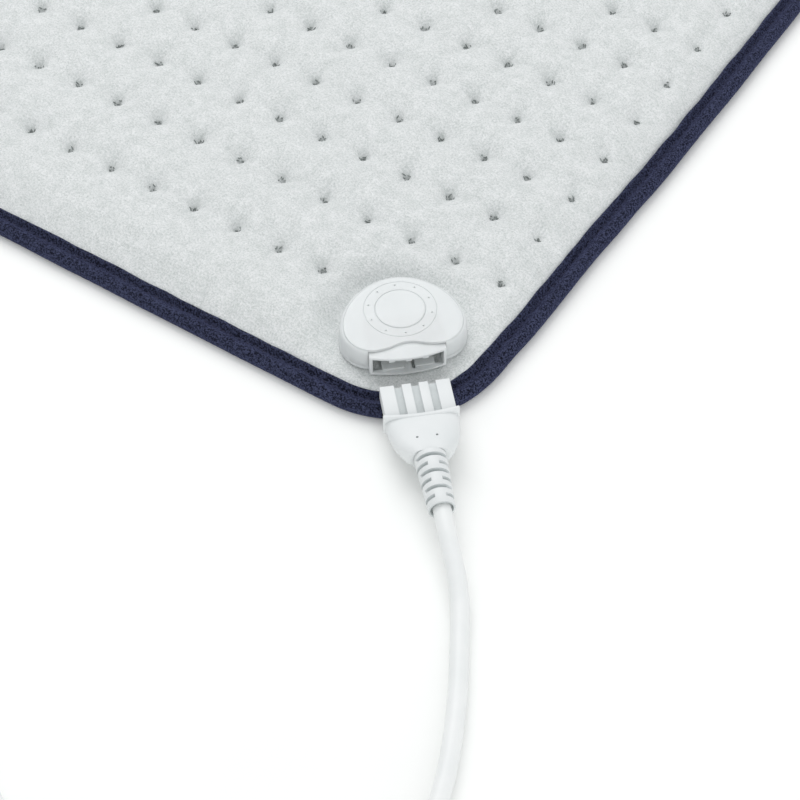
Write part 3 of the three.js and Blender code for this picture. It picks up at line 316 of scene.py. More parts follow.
# Coil tie. A strip of black woven hook tape, 8 mm wide, closed round the turns of the coil; it
# has a fine cross weave and square cut ends.
tie_width = 8 * mm
tie_thick = 0.8 * mm
tie_low = coil_inner - cord_diameter / 2 - 0.6 * mm
tie_high = coil_outer + cord_diameter / 2 + 0.3 * mm
tie_top = coil_level + coil_pitch + cord_diameter / 2 + 0.3 * mm


def loop_band(name, low, high, top, thick, width):
    """A flat band with rounded corners round a bundle that lies along X, from low to high."""
    radius = 3 * mm
    corners = [(high, top, 0), (low, top, 90), (low, thick, 180), (high, thick, 270)]
    section = [(radius, -1), (radius + thick, -1), (radius + thick, 1), (radius, 1)]
    rings = []
    for x, z, start in corners:
        middle = Vector((x, 0, z))
        middle.x += -radius if x == high else radius
        middle.z += -radius if z == top else radius
        for i in range(7):
            t = math.radians(start + 15 * i)
            out = Vector((math.cos(t), 0, math.sin(t)))
            rings.append([middle + out * r + Vector((0, y * width / 2, 0)) for r, y in section])
    return skin(name, rings, closed=True)


tie = loop_band("coil_tie_band", tie_low, tie_high, tie_top, tie_thick, tie_width)
tie.data.transform(Matrix.Translation(coil_centre) @ Matrix.Rotation(math.pi, 4, "Z"))
smooth(tie, 30)
hook_tape, tree, place = new_material("hook_tape_woven", Roughness=0.85)
threads = {"Vector": place, "Scale": 0.16 / mm, "Distortion": 0.6}
weave = add_node(tree, "TexWave", threads, bands_direction="Y").outputs["Fac"]
dress(tree, weave, ("#1c1e20", "#34383b"), weave, 0.15 * mm)
tie.data.materials.append(hook_tape)
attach(tie, "pad_set")
stand_for(tie, "tie", "coil_tie")

# Socket frame. The socket and the plug are turned together: their own X points out of the mouth,
# along the lead, and their Y across it.
socket_turn = math.radians(-47.5)
socket_centre = Vector((173, -123, 0)) * mm
socket_frame = Matrix.Translation(socket_centre) @ Matrix.Rotation(socket_turn, 4, "Z")
to_socket = socket_frame.inverted()
mouth_shift = -1.2 * mm
plug_level = 9.4 * mm
nose_front = 29.1 * mm
plug_frame = socket_frame @ Matrix.Translation((nose_front, mouth_shift, plug_level))

# Plush cover. White polyester plush over wadding, sewn down to the layers below by a small tuft
# at each crossing of a grid, so that it swells between the tufts; it is pressed flat round the
# socket and in front of the mouth. The nap is brushed short and shows as a fine, soft speckle.
cover_half = (200.7 * mm, 150.7 * mm)
cover_radius = 30.7 * mm
tuft_pitch = 17.25 * mm
column_count = 11
tuft_rows = [0, *[s * y * mm for y in (22, 44, 66, 89.8, 116.8) for s in (1, -1)]]
tuft_rows.sort()
tuft_level = 5.5 * mm
ridge_level = 9.4 * mm
crown_level = 10.6 * mm
ridge_reach = 3.7 * mm
crown_reach = 6 * mm
rise_power = 1.15
pit_depth = 1.1 * mm
pit_radius = 1.7 * mm
edge_level = 4.2 * mm
rim_slope = 0.75
seat_level = 5.2 * mm
pressed_middle = Vector((6, -1)) * mm
pressed_reach = Vector((22.5, 21.5)) * mm
pressed_soft = 13 * mm
under_socket = 0.78
under_level = 4.7 * mm


def inside_edge(x, y):
    """How far a place lies inside the cover's rounded outline."""
    beyond_x = abs(x) - cover_half[0] + cover_radius
    beyond_y = abs(y) - cover_half[1] + cover_radius
    outside = math.hypot(max(beyond_x, 0), max(beyond_y, 0))
    return cover_radius - outside - min(max(beyond_x, beyond_y), 0)


def from_socket(x, y):
    """How far a place lies outside the patch that the socket presses flat, and its bearing."""
    place = (to_socket @ Vector((x, y, 0))).to_2d() - pressed_middle
    share = math.hypot(place.x / pressed_reach.x, place.y / pressed_reach.y)
    return (share - 1) * pressed_reach.x, math.atan2(place.y, place.x)


def uneven(x, y, size, seed):
    """Gentle unevenness between -1 and 1 over patches of a size."""
    return noise.noise(Vector((x / size, y / size, seed)))


def softly(value, low, high):
    """From 0 at low to 1 at high, with soft ends."""
    share = min(1, max(0, (value - low) / (high - low)))
    return share * share * (3 - 2 * share)


def from_tuft(x, y):
    """How far a place lies from the nearest column and from the nearest row of tufts."""
    column = min(column_count, round(abs(x) / tuft_pitch)) * tuft_pitch
    return abs(abs(x) - column), min(abs(y - row) for row in tuft_rows)


def plush_level(x, y):
    """Level of the plush surface at a place on the pad."""
    from_column, from_row = from_tuft(x, y)
    ridge = ridge_level + 0.35 * mm * uneven(x, y, 21 * mm, 3)
    crown = crown_level + 0.45 * mm * uneven(x, y, 16 * mm, 7)
    rise = 1 - math.exp(-((from_column / ridge_reach) ** rise_power))
    valley = tuft_level + (ridge - tuft_level) * rise
    level = valley + (crown - valley) * (1 - math.exp(-((from_row / crown_reach) ** rise_power)))
    level -= pit_depth * math.exp(-(from_column**2 + from_row**2) / pit_radius**2)
    edge = inside_edge(x, y)
    swell = softly(edge, 0.4 * mm, 19 * mm) ** 0.55
    level = edge_level + (level - edge_level) * swell - rim_slope * max(0, -edge)
    away, bearing = from_socket(x, y)
    fold = math.sin(7 * bearing + 2.2 * uneven(x, y, 18 * mm, 11))
    fold *= 0.3 * mm * softly(away, 0, 4 * mm) * (1 - softly(away, 7 * mm, 18 * mm))
    pressed = seat_level + fold + 0.12 * mm * uneven(x, y, 5 * mm, 5)
    pressed = min(pressed, level + 0.4 * mm)
    covered = 1 - softly(away, (under_socket - 1) * pressed_reach.x, -1 * mm)
    pressed -= max(0, pressed - under_level) * covered
    return pressed + (level - pressed) * softly(away, 0, pressed_soft)


def napped(x, y):
    """Small rise and fall of the nap."""
    return 0.11 * mm * uneven(x, y, 1.7 * mm, 1) + 0.16 * mm * uneven(x, y, 4.2 * mm, 2)


def drawn_in(marks, edge, spacing):
    """Places from one edge to the other, about a spacing apart but denser at each mark."""
    stops = [-edge, *marks, edge]
    places = []
    for low, high in zip(stops, stops[1:]):
        steps = math.ceil((high - low) / spacing)
        for i in range(steps):
            t = i / steps
            places.append(low + (high - low) * (t - 0.09 * math.sin(2 * math.pi * t)))
    return [*places, edge]


def piece_of(name, work):
    """A new piece whose mesh is the finished work."""
    mesh = bpy.data.meshes.new(name)
    work.to_mesh(mesh)
    work.free()
    made = bpy.data.objects.new(name, mesh)
    bpy.context.collection.objects.link(made)
    return made


def quilted(name, spacing, level, base, tuck):
    """A closed cover over the whole pad, up to a tuck under the hem, level(x, y) high."""
    columns = [i * tuft_pitch for i in range(-column_count, column_count + 1)]
    marks = zip((columns, tuft_rows), cover_half)
    lines = [drawn_in(stops, half + tuck, spacing) for stops, half in marks]
    arc = [half - cover_radius for half in cover_half]
    reach = cover_radius + tuck
    work = bmesh.new()
    grid = []
    for x in lines[0]:
        grid.append([])
        for y in lines[1]:
            beyond = Vector((abs(x) - arc[0], abs(y) - arc[1]))
            place = Vector((x, y))
            outside = min(beyond) > 0 and beyond.length > reach
            if outside:
                beyond *= reach / beyond.length
                place.x = math.copysign(arc[0] + beyond.x, x)
                place.y = math.copysign(arc[1] + beyond.y, y)
            vert = work.verts.new((place.x, place.y, level(place.x, place.y)))
            grid[-1].append((vert, outside))
    for near, far in zip(grid, grid[1:]):
        for corners in zip(near, far, far[1:], near[1:]):
            if not all(outside for vert, outside in corners):
                work.faces.new([vert for vert, outside in corners])
    loose = [vert for vert in work.verts if not vert.link_faces]
    bmesh.ops.delete(work, geom=loose, context="VERTS")
    bmesh.ops.remove_doubles(work, verts=work.verts, dist=0.2 * mm)
    bmesh.ops.dissolve_degenerate(work, edges=work.edges, dist=0.02 * mm)
    rim = [edge for edge in work.edges if edge.is_boundary]
    walls = bmesh.ops.extrude_edge_only(work, edges=rim)["geom"]
    for vert in [part for part in walls if isinstance(part, bmesh.types.BMVert)]:
        vert.co.z = base
    last = [part for part in walls if isinstance(part, bmesh.types.BMEdge) and part.is_boundary]
    bmesh.ops.contextual_create(work, geom=last)
    bmesh.ops.recalc_face_normals(work, faces=work.faces)
    return piece_of(name, work)


cover = quilted(
    "plush_cover",
    tuft_pitch / 12,
    lambda x, y: plush_level(x, y) + napped(x, y),
    base=1.9 * mm,
    tuck=2.2 * mm,
)
smooth(cover, 60)

# Polyester plush, knitted and brushed: matt, with a pale sheen at grazing light, and speckled by
# the tips and roots of its fibres; the speckle is drawn about 0.6 mm wide so that it shows.
plush, tree, place = new_material(
    "polyester_plush_brushed",
    Roughness=0.95,
    Specular_IOR_Level=0.2,
    Sheen_Weight=0.35,
    Sheen_Roughness=0.5,
)
fibre_values = {"Vector": place, "Scale": 1 / (0.65 * mm), "Detail": 3, "Roughness": 0.8}
clump_values = {"Vector": place, "Scale": 1 / (5 * mm), "Detail": 3}
fibres = add_node(tree, "TexNoise", fibre_values).outputs["Fac"]
clumps = add_node(tree, "TexNoise", clump_values).outputs["Fac"]
mixed = add_node(tree, "Mix", {"Factor": 0.2, "A": fibres, "B": clumps}, data_type="FLOAT")
dress(tree, mixed.outputs["Result"], ("#cad0ce", "#f5f7f7"), fibres, 0.6 * mm, 0.8, spread=0.13)
cover.data.materials.append(plush)
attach(cover, "pad_set")
stand_for(cover, "plush", "pad_top_cover")

# Under cover. The same plush on the underside, which lies flat on the table apart from a small
# dimple under each tuft.
dimple_depth = 1.1 * mm
dimple_reach = 2.6 * mm


def under_level_at(x, y):
    """Level of the underside at a place on the pad."""
    from_column, from_row = from_tuft(x, y)
    away = (from_column / dimple_reach) ** 2 + (from_row / dimple_reach) ** 2
    return dimple_depth * math.exp(-away) + 0.08 * mm * (1 + uneven(x, y, 3 * mm, 4))


under = quilted("under_cover", tuft_pitch / 8, under_level_at, base=1.8 * mm, tuck=-0.1 * mm)
close_up(under)
smooth(under, 60)
under.data.materials.append(plush)
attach(under, "pad_set")
stand_for(under, "plush", "pad_bottom_cover")

# Tufts. Each is a small knot of thread sewn through all layers and sunk in its pit: a few short
# threads over some 3 mm, dark grey partly of their own and partly as painted shade of needle holes.
thread_sides = 5
thread_thick = 0.5 * mm


def stitched(name, runs):
    """Short threads, each a run of points in metres that narrows at both ends."""
    work = bmesh.new()
    for run in runs:
        rings = []
        for i in range(len(run)):
            radius = thread_thick / 2 * (0.45 if i in (0, len(run) - 1) else 1)
            rings.append([work.verts.new(p) for p in ring_round(run, i, radius, thread_sides)])
        for low, high in zip(rings, rings[1:]):
            for j in range(thread_sides):
                k = (j + 1) % thread_sides
                work.faces.new((low[j], low[k], high[k], high[j]))
        work.faces.new(reversed(rings[0]))
        work.faces.new(rings[-1])
    made = piece_of(name, work)
    smooth(made, 60)
    return made


chance = random.Random(4)
tuft_runs = []
for column in range(-column_count, column_count + 1):
    for row in tuft_rows:
        middle = Vector((column * tuft_pitch, row, 0))
        if from_socket(*middle.xy)[0] < 3 * mm:
            continue
        for i in range(7):
            bearing = 2 * math.pi * (i + chance.uniform(-0.4, 0.4)) / 7
            radius = chance.uniform(0.3, 1.5) * mm
            outer = middle + Vector((radius * math.cos(bearing), radius * math.sin(bearing), 0))
            turn = bearing + chance.uniform(0.6, 2.4)
            along = Vector((math.cos(turn), math.sin(turn), 0)) * chance.uniform(0.25, 0.6) * mm
            run = [outer - along, outer - along * 0.3, outer + along * 0.3, outer + along]
            for place in run:
                place.z = plush_level(place.x, place.y) + 0.18 * mm
            tuft_runs.append(run)
tufts = stitched("tuft_stitches", tuft_runs)
# Polyester thread, twisted and matt, in two greys over soft patches; its dark grey is partly
# painted shade.
tuft_thread_and_hole_shade = finish("polyester_thread_grey_hole_shade", "#666d6b", "#a2a9a7", 0.9 * mm, Roughness=0.8)
tufts.data.materials.append(tuft_thread_and_hole_shade)
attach(tufts, "pad_set")

# Hem. A navy fleece tape folded round the edge of the pad and sewn through: a flat lip lies on
# the plush, the seam sinks beside it and the folded edge swells outside the seam.
hem_length = 420 * mm
hem_width = 320 * mm
hem_radius = 40 * mm
tape_width = 6.9 * mm
tape_height = 5.1 * mm
tape_inset = 1.2 * mm
tape_profile = [(0, 0.3), (0.04, 0.02), (0.3, 0), (0.62, 0), (0.9, 0.03), (1, 0.28), (1.01, 0.6)]
tape_profile += [(0.92, 0.86), (0.78, 0.99), (0.63, 0.99), (0.5, 0.9), (0.39, 0.74), (0.29, 0.64)]
tape_profile += [(0.2, 0.68), (0.11, 0.82), (0.03, 0.94), (-0.06, 0.97), (-0.12, 0.88)]
tape_profile += [(-0.09, 0.68), (0.01, 0.52)]
seam_share = 0.27
lip_share = 0.35


def round_loop(points, per_span):
    """A smooth closed outline through points, with so many steps between neighbours."""
    count = len(points)
    outline = []
    for i in range(count):
        a, b, c, d = [Vector(points[(i + k) % count]) for k in (-1, 0, 1, 2)]
        for k in range(per_span):
            t = k / per_span
            bend = 2 * a - 5 * b + 4 * c - d
            turn = 3 * b - a - 3 * c + d
            outline.append(b + ((c - a) * t + bend * t**2 + turn * t**3) / 2)
    return outline


def along_edge(spacing):
    """Places round the pad's rounded edge: a point on the edge and the way outwards there."""
    arc = [hem_length / 2 - hem_radius, hem_width / 2 - hem_radius]
    quarter = math.pi / 2 * hem_radius
    corners = [(1, -1), (1, 1), (-1, 1), (-1, -1)]
    places = []
    for number, (sx, sy) in enumerate(corners):
        centre = Vector((sx * arc[0], sy * arc[1]))
        steps = round(quarter / spacing)
        for i in range(steps):
            bearing = (number - 1 + i / steps) * math.pi / 2
            out = Vector((math.cos(bearing), math.sin(bearing)))
            places.append((centre + out * hem_radius, out))
        nx, ny = corners[(number + 1) % 4]
        goal = Vector((nx * arc[0], ny * arc[1]))
        out = Vector((math.cos(number * math.pi / 2), math.sin(number * math.pi / 2)))
        steps = round((goal - centre).length / spacing)
        for i in range(steps):
            places.append((centre.lerp(goal, i / steps) + out * hem_radius, out))
    return places


# The edge strays from its line by about a millimetre; each pair is a place along the edge, counted
# from the socket's corner, and how far the tape lies inwards there, both in millimetres.
hem_strays = [(-400, 0), (-140, 0.8), (-105, 0.6), (-70, 0.1), (-15, -0.3), (10, 0), (40, 0.4)]
hem_strays += [(57, 1.1), (68, 0.9), (85, 0.2), (125, 0.1), (145, -0.3), (165, -0.9), (200, -1.1)]
hem_strays += [(260, -0.8), (400, 0)]


def stray(along):
    """How far the tape lies inwards at a place along the edge, in metres."""
    for (a, low), (b, high) in zip(hem_strays, hem_strays[1:]):
        if a <= along / mm <= b:
            return (low + (high - low) * softly(along / mm, a, b)) * mm
    return 0


hem_outline = round_loop(tape_profile, 3)
hem_rings = []
hem_spacing = 1.4 * mm
hem_places = along_edge(hem_spacing)
for index, (place, out) in enumerate(hem_places):
    along = hem_spacing * (index - (len(hem_places) if index > len(hem_places) / 2 else 0))
    place = place - out * (tape_inset + stray(along))
    wave = 0.3 * mm * uneven(place.x, place.y, 26 * mm, 21)
    lip_wave = 0.35 * mm * uneven(place.x, place.y, 9 * mm, 22)
    swell = 1 + 0.05 * uneven(place.x, place.y, 12 * mm, 23)
    ring = []
    for share, height in hem_outline:
        inward = tape_width * (1 - share)
        shift = wave * max(share, 0) + lip_wave * max(0, lip_share - share) * 2.6
        level = tape_height * height * (swell if height > 0.5 else 1)
        fluff = 0.07 * mm * uneven(place.x + 31 * inward, place.y + level, 0.9 * mm, 24)
        spot = place + out * (shift - inward + fluff)
        ring.append(Vector((spot.x, spot.y, max(0, level + (fluff if height > 0.2 else 0)))))
    hem_rings.append(ring)
hem = skin("hem_tape", hem_rings, closed=True)
smooth(hem, 60)

# Polyester fleece tape, dyed navy: matt, with a blue sheen where its short pile catches light,
# and lighter specks about 0.6 mm wide.
fleece, tree, place = new_material(
    "polyester_fleece_navy",
    Roughness=0.95,
    Specular_IOR_Level=0.15,
    Sheen_Weight=0.3,
    Sheen_Roughness=0.45,
    Sheen_Tint=linear("#6f78b4"),
)
pile_values = {"Vector": place, "Scale": 1 / (0.6 * mm), "Detail": 4, "Roughness": 0.7}
pile = add_node(tree, "TexNoise", pile_values).outputs["Fac"]
dress(tree, pile, ("#030412", "#434862"), pile, 0.5 * mm, spread=0.08)
hem.data.materials.append(fleece)
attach(hem, "pad_set")
stand_for(hem, "hem", "edge_binding")

# Hem seam. Navy lockstitch, about 3 mm to the stitch, sunk in the seam of the tape.
stitch_spacing = 1.1 * mm
seam_level = tape_height * 0.64
stitch_places = along_edge(stitch_spacing)
seam_runs = []
for i in range(0, len(stitch_places) - 2, 3):
    run = []
    for k, dip in enumerate((0.18, 0, 0.18)):
        place, out = stitch_places[i + k]
        along = stitch_spacing * (i - (len(stitch_places) if i > len(stitch_places) / 2 else 0))
        spot = place - out * (tape_inset + stray(along) + tape_width * (1 - seam_share))
        run.append(Vector((spot.x, spot.y, seam_level - dip * mm)))
    seam_runs.append(run)
seam = stitched("hem_stitches", seam_runs)
navy_thread = finish("polyester_thread_navy", "#0f1230", "#252a52", 0.4 * mm, Roughness=0.6)
seam.data.materials.append(navy_thread)
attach(seam, "pad_set")

# Socket cap. The upper shell of the connector housing, moulded in white ABS: a heart-shaped cap
# with a rounded shoulder, a flat top set off by a fine step, and a round field in a ring of dots.
heart_shift = -0.7 * mm
cap_bottom = 6.95 * mm
cap_top = 14.3 * mm
cap_wall = 1.5 * mm
cap_steps = 144
front_share = 0.3


def bezier(a, b, c, d, steps):
    """Points on a cubic curve from a towards d, without its end."""
    curve = []
    for i in range(steps):
        t = i / steps
        weights = ((1 - t) ** 3, 3 * t * (1 - t) ** 2, 3 * t**2 * (1 - t), t**3)
        curve.append(tuple(sum(w * p[k] for w, p in zip(weights, (a, b, c, d))) for k in (0, 1)))
    return curve


def heart(inset, ahead=None):
    """Outline of the housing, seen from above, drawn in by an inset; starts at the notch."""
    ahead = inset * front_share if ahead is None else ahead
    half, back, widest, roundness = 20.6 * mm - inset, 15.3 * mm - inset, 6 * mm, 0.51
    lobe, spread, notch = 15.9 * mm - ahead, 10.5 * mm, 13.9 * mm - ahead
    reach = back + widest
    rough = []
    for side in (1, -1):
        stretch = bezier((notch, 0), (notch, spread / 3), (lobe, spread / 2), (lobe, spread), 24)
        for i in range(32):
            t = math.pi / 2 * i / 32
            y = spread + (half - spread) * math.sin(t)
            stretch.append((widest + (lobe - widest) * math.cos(t), y))
        tip = (widest - reach, 0)
        pulls = (widest - roundness * reach, half), (widest - reach, roundness * half)
        stretch += bezier((widest, half), *pulls, tip, 48)
        stretch.append(tip)
        if side < 0:
            stretch = [(x, -y) for x, y in reversed(stretch)][1:]
        rough += stretch
    rough = [Vector((x, y + heart_shift)) for x, y in rough]
    loop = [*rough, rough[0]]
    marks = [0]
    for a, b in zip(loop, loop[1:]):
        marks.append(marks[-1] + (b - a).length)
    even, k = [], 0
    for i in range(cap_steps):
        goal = marks[-1] * i / cap_steps
        while marks[k + 1] < goal:
            k += 1
        share = (goal - marks[k]) / max(marks[k + 1] - marks[k], 1e-9)
        even.append(loop[k].lerp(loop[k + 1], share))
    return even


def heart_ring(inset, level, ahead=None):
    """The housing's outline as a ring of points at a level."""
    return [Vector((p.x, p.y, level)) for p in heart(inset, ahead)]


def edit_edges(piece, chosen, action, **settings):
    """Runs one action of edit mode on the edges whose two ends pass a test."""
    pick(piece)
    bpy.ops.object.mode_set(mode="EDIT")
    bpy.ops.mesh.select_mode(type="EDGE")
    bpy.ops.mesh.select_all(action="DESELECT")
    work = bmesh.from_edit_mesh(piece.data)
    for edge in work.edges:
        edge.select_set(chosen(edge.verts[0].co, edge.verts[1].co))
    bmesh.update_edit_mesh(piece.data)
    action(**settings)
    bpy.ops.object.mode_set(mode="OBJECT")


def apply_to(piece, kind, **settings):
    """Adds one modifier with its settings and applies it."""
    pick(piece)
    modifier = piece.modifiers.new(kind.lower(), kind)
    for name, value in settings.items():
        setattr(modifier, name, value)
    bpy.ops.object.modifier_apply(modifier=modifier.name)


def combine(piece, others, operation="DIFFERENCE"):
    """Cuts the other solids out of a piece, or joins them to it, and deletes them."""
    for other in others:
        close_up(other)
        apply_to(piece, "BOOLEAN", object=other, operation=operation, solver="EXACT")
        bpy.data.objects.remove(other)


def ease(piece, width, angle=35, segments=2):
    """Rounds every edge sharper than an angle, as a mould does."""
    limit = {"limit_method": "ANGLE", "angle_limit": math.radians(angle)}
    apply_to(piece, "BEVEL", width=width, segments=segments, use_clamp_overlap=True, **limit)


def box(name, low, high):
    """A box between two corners in metres."""
    low, high = Vector(low), Vector(high)
    add = bpy.ops.mesh.primitive_cube_add
    return primitive(add, name, scale=high - low, size=1, location=(low + high) / 2)


def bowed_box(name, low, high, bow, back_bow=0, arch=(0, 0)):
    """A box whose front, and back if asked, is bowed across its width. The front edge of its top
    may be arched: dropped and drawn back at its ends, raised and brought forward in its middle."""
    made = box(name, low, high)
    edit_edges(
        made, lambda a, b: abs(a.y - b.y) > 1 * mm, bpy.ops.mesh.subdivide, number_cuts=15
    )
    middle = (Vector(low) + Vector(high)) / 2
    for vert in made.data.vertices:
        share = 1 - ((vert.co.y - middle.y) / (high[1] - middle.y)) ** 2
        ahead = vert.co.x > middle.x
        vert.co.x += (bow if ahead else back_bow) * share
        if ahead and vert.co.z > middle.z:
            vert.co.z += arch[1] * share - arch[0] * (1 - share)
            vert.co.x += 1.2 * (arch[1] * share - arch[0] * (1 - share))
    return made


def drum(name, centre, radius, depth, sides=48, along="Z"):
    """A cylinder round a centre."""
    turn = {"Z": (0, 0, 0), "X": (0, math.pi / 2, 0), "Y": (math.pi / 2, 0, 0)}[along]
    size = {"vertices": sides, "radius": radius, "depth": depth}
    add = bpy.ops.mesh.primitive_cylinder_add
    return primitive(add, name, location=centre, rotation=turn, **size)


def hoop(radius, thick):
    """A thin ring round the field's centre, to cut a fine round groove."""
    size = {"major_radius": radius, "minor_radius": thick / 2}
    steps = {"major_segments": 72, "minor_segments": 8}
    add = bpy.ops.mesh.primitive_torus_add
    return primitive(add, "hoop", location=field_spot, **size, **steps)


def settle(piece, matrix, body, slot_name=None, *replaced):
    """Puts a piece made in its own frame where it belongs, and hides the CAD nodes it stands for.
    """
    piece.data.transform(matrix)
    smooth(piece, 38)
    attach(piece, body)
    if slot_name:
        stand_for(piece, slot_name, *replaced)


cap_rings = [
    heart_ring(1.5 * mm, cap_bottom),
    heart_ring(0.1 * mm, cap_bottom),
    heart_ring(0, cap_bottom + 0.1 * mm),
    heart_ring(0.15 * mm, cap_top - 2.5 * mm),
]
for i in range(1, 8):
    t = math.pi / 2 * i / 8
    inset = 0.15 * mm + 1.15 * mm * (1 - math.cos(t))
    cap_rings.append(heart_ring(inset, cap_top - 2.5 * mm + 2.2 * mm * math.sin(t)))
top_step = ((1.22, 0.31), (1.3, 0.5), (1.42, 0.52), (1.5, 0.08), (1.7, 0), (3, -0.03))
cap_rings += [heart_ring(inset * mm, cap_top - drop * mm) for inset, drop in top_step]
cap = skin("socket_cap", cap_rings)
field_spot = Vector((-0.3 * mm, heart_shift, cap_top))
field_rings = []
for radius, level in ((8, -1), (8, 0.08), (7.9, 0.18), (7.7, 0.22), (7, 0.22)):
    turns = [2 * math.pi * i / 96 for i in range(96)]
    rim = [Vector((math.cos(t), math.sin(t), 0)) * radius + Vector((0, 0, level)) for t in turns]
    field_rings.append([field_spot + place * mm for place in rim])
combine(cap, [hoop(8.15 * mm, 0.4 * mm)])
combine(cap, [skin("field", field_rings)], "UNION")
combine(cap, [hoop(11.7 * mm, 0.3 * mm)])
dot_count = 10
dot_reach = 10.3 * mm
dots = []
for i in range(dot_count):
    t = 2 * math.pi * i / dot_count
    dot_spot = field_spot + Vector((math.cos(t), math.sin(t), 0)) * dot_reach
    dots.append(drum("dot", dot_spot, 0.34 * mm, 0.6 * mm, sides=10))
combine(cap, dots)
mouth_half = 12.35 * mm
mouth_low, mouth_high = mouth_shift - mouth_half, mouth_shift + mouth_half
mouth_back, mouth_front, mouth_bow = 3.4 * mm, 17.9 * mm, 1.8 * mm
mouth_top = 13.4 * mm
hollow_rings = [
    heart_ring(cap_wall, cap_bottom - 1 * mm, cap_wall),
    heart_ring(cap_wall, cap_top - cap_wall, cap_wall),
]
room_low = (mouth_back - 0.3 * mm, mouth_low - 0.1 * mm, cap_bottom - 1 * mm)
room_high = (mouth_front + 4 * mm, mouth_high + 0.1 * mm, mouth_top + 0.26 * mm)
combine(cap, [skin("hollow", hollow_rings), box("room", room_low, room_high)])

# ABS, moulded and lightly spark-grained: satin white with a faint cool cast and soft highlights;
# light spreads a little inside it, which lifts its upright walls.
abs_white = finish(
    "abs_moulded_white",
    "#dbdfdf",
    "#e0e4e4",
    14 * mm,
    0.35 * mm,
    0.012 * mm,
    mark_detail=1,
    Roughness=0.4,
    Specular_IOR_Level=0.5,
    Subsurface_Weight=0.5,
    Subsurface_Radius=(1, 1, 1),
    Subsurface_Scale=2.5 * mm,
)
cap.data.materials.append(abs_white)
settle(cap, socket_frame, "pad_set", "housing", "socket_cover")

# Socket shell. The lower shell, also white ABS: a heart-shaped plate on the plush, with the flat
# rectangular mouth standing out under the cap; the roof of the mouth slopes forwards in an arch.
shell_level = 5.4 * mm
plate_thick = 1.5 * mm
mouth_wall = 0.95 * mm
cavity_floor = shell_level + mouth_wall
plate_rings = [
    heart_ring(0.9 * mm, shell_level),
    heart_ring(0.2 * mm, shell_level + 0.1 * mm),
    heart_ring(0, shell_level + 0.4 * mm),
    heart_ring(0, shell_level + plate_thick - 0.1 * mm),
    heart_ring(0.1 * mm, shell_level + plate_thick),
]
plate = skin("socket_shell", plate_rings)
mouth_corner = (mouth_front, mouth_high, mouth_top)
mouth_arch = (0.35 * mm, 0.25 * mm)
mouth = bowed_box(
    "mouth", (mouth_back, mouth_low, shell_level), mouth_corner, mouth_bow, arch=mouth_arch
)
ease(mouth, 0.3 * mm, segments=3)
combine(plate, [mouth], "UNION")
hollow = bowed_box(
    "hollow",
    (mouth_back - 2 * mm, mouth_low + mouth_wall, cavity_floor),
    (mouth_front + 3.3 * mm, mouth_high - mouth_wall, mouth_top - mouth_wall),
    mouth_bow,
    arch=(0.15 * mm, 0.25 * mm),
)
ease(hollow, 0.25 * mm)
slits = []
for low, high in ((-12.4, -9.4), (0.1, 1.1), (7.5, 10.1)):
    front = 18.2 if low > 0 and high < 2 else 17.2
    slits.append(box("slit", (7 * mm, low * mm, 5 * mm), (front * mm, high * mm, 7 * mm)))
combine(plate, [hollow, *slits])
blocks = []
block_low, block_high = cavity_floor - 0.3 * mm, cavity_floor + 0.4 * mm
for low, high in ((-9.3, -2.4), (1.2, 7.4)):
    corner = (17.6 * mm, high * mm, block_high)
    blocks.append(box("block", (7 * mm, low * mm, block_low), corner))
combine(plate, blocks, "UNION")
plate.data.materials.append(abs_white)
settle(plate, socket_frame, "pad_set", "housing", "socket_base")

# Plug nose. The part of the lead's plug that goes into the socket: white PVC with three grooves
# along its top, for the socket's rails, and three bores with brass sleeves in its front.
nose_length = 11.7 * mm
nose_half = 11.1 * mm
nose_high = 2.75 * mm
nose_low = 2.5 * mm
plug_bow = 1 * mm
contact_pitch = 5.4 * mm
groove_depth = 1.45 * mm
groove_half = 1.25 * mm
floor_level = nose_high - groove_depth
nose_corner = (nose_length, nose_half, nose_high)
nose = bowed_box("plug_nose_moulding", (0, -nose_half, -nose_low), nose_corner, plug_bow)
cuts = []
for side in (-1, 0, 1):
    y = side * contact_pitch
    corner = (14 * mm, y + groove_half, 5 * mm)
    cuts.append(box("groove", (-1 * mm, y - groove_half, floor_level), corner))
    cuts.append(drum("bore", (2.15 * mm, y, 0), 1.2 * mm, 6.3 * mm, sides=32, along="X"))
combine(nose, cuts)
ease(nose, 0.28 * mm)
# Faces on the groove floors take the second material, whose darker tone is painted shade.
for face in nose.data.polygons:
    face.material_index = int(face.normal.z > 0.9 and abs(face.center.z - floor_level) < 0.02 * mm)
# PVC, moulded and soft: white with a faint cool cast and a low, broad gloss.
soft_gloss = {"Roughness": 0.45, "Specular_IOR_Level": 0.45}
tones = ("#dee2e2", "#e3e6e6")
pvc_white = finish(
    "pvc_moulded_white", *tones, 11 * mm, 0.5 * mm, 0.015 * mm, mark_detail=1, **soft_gloss
)
nose.data.materials.append(pvc_white)
# The floors of grooves and slots are matt and coarsely embossed, and their tone is darker than the
# rest: painted shade, for the shade that falls into these recesses.
matt = {"Roughness": 0.8, "Specular_IOR_Level": 0.2}
tones = ("#cacfcf", "#d2d7d7")
pvc_matt_painted_shade = finish("pvc_moulded_matt_painted_shade", *tones, 3 * mm, 0.3 * mm, 0.05 * mm, **matt)
nose.data.materials.append(pvc_matt_painted_shade)
settle(nose, plug_frame, "lead_plug", "plug_plastic", "plug_nose")

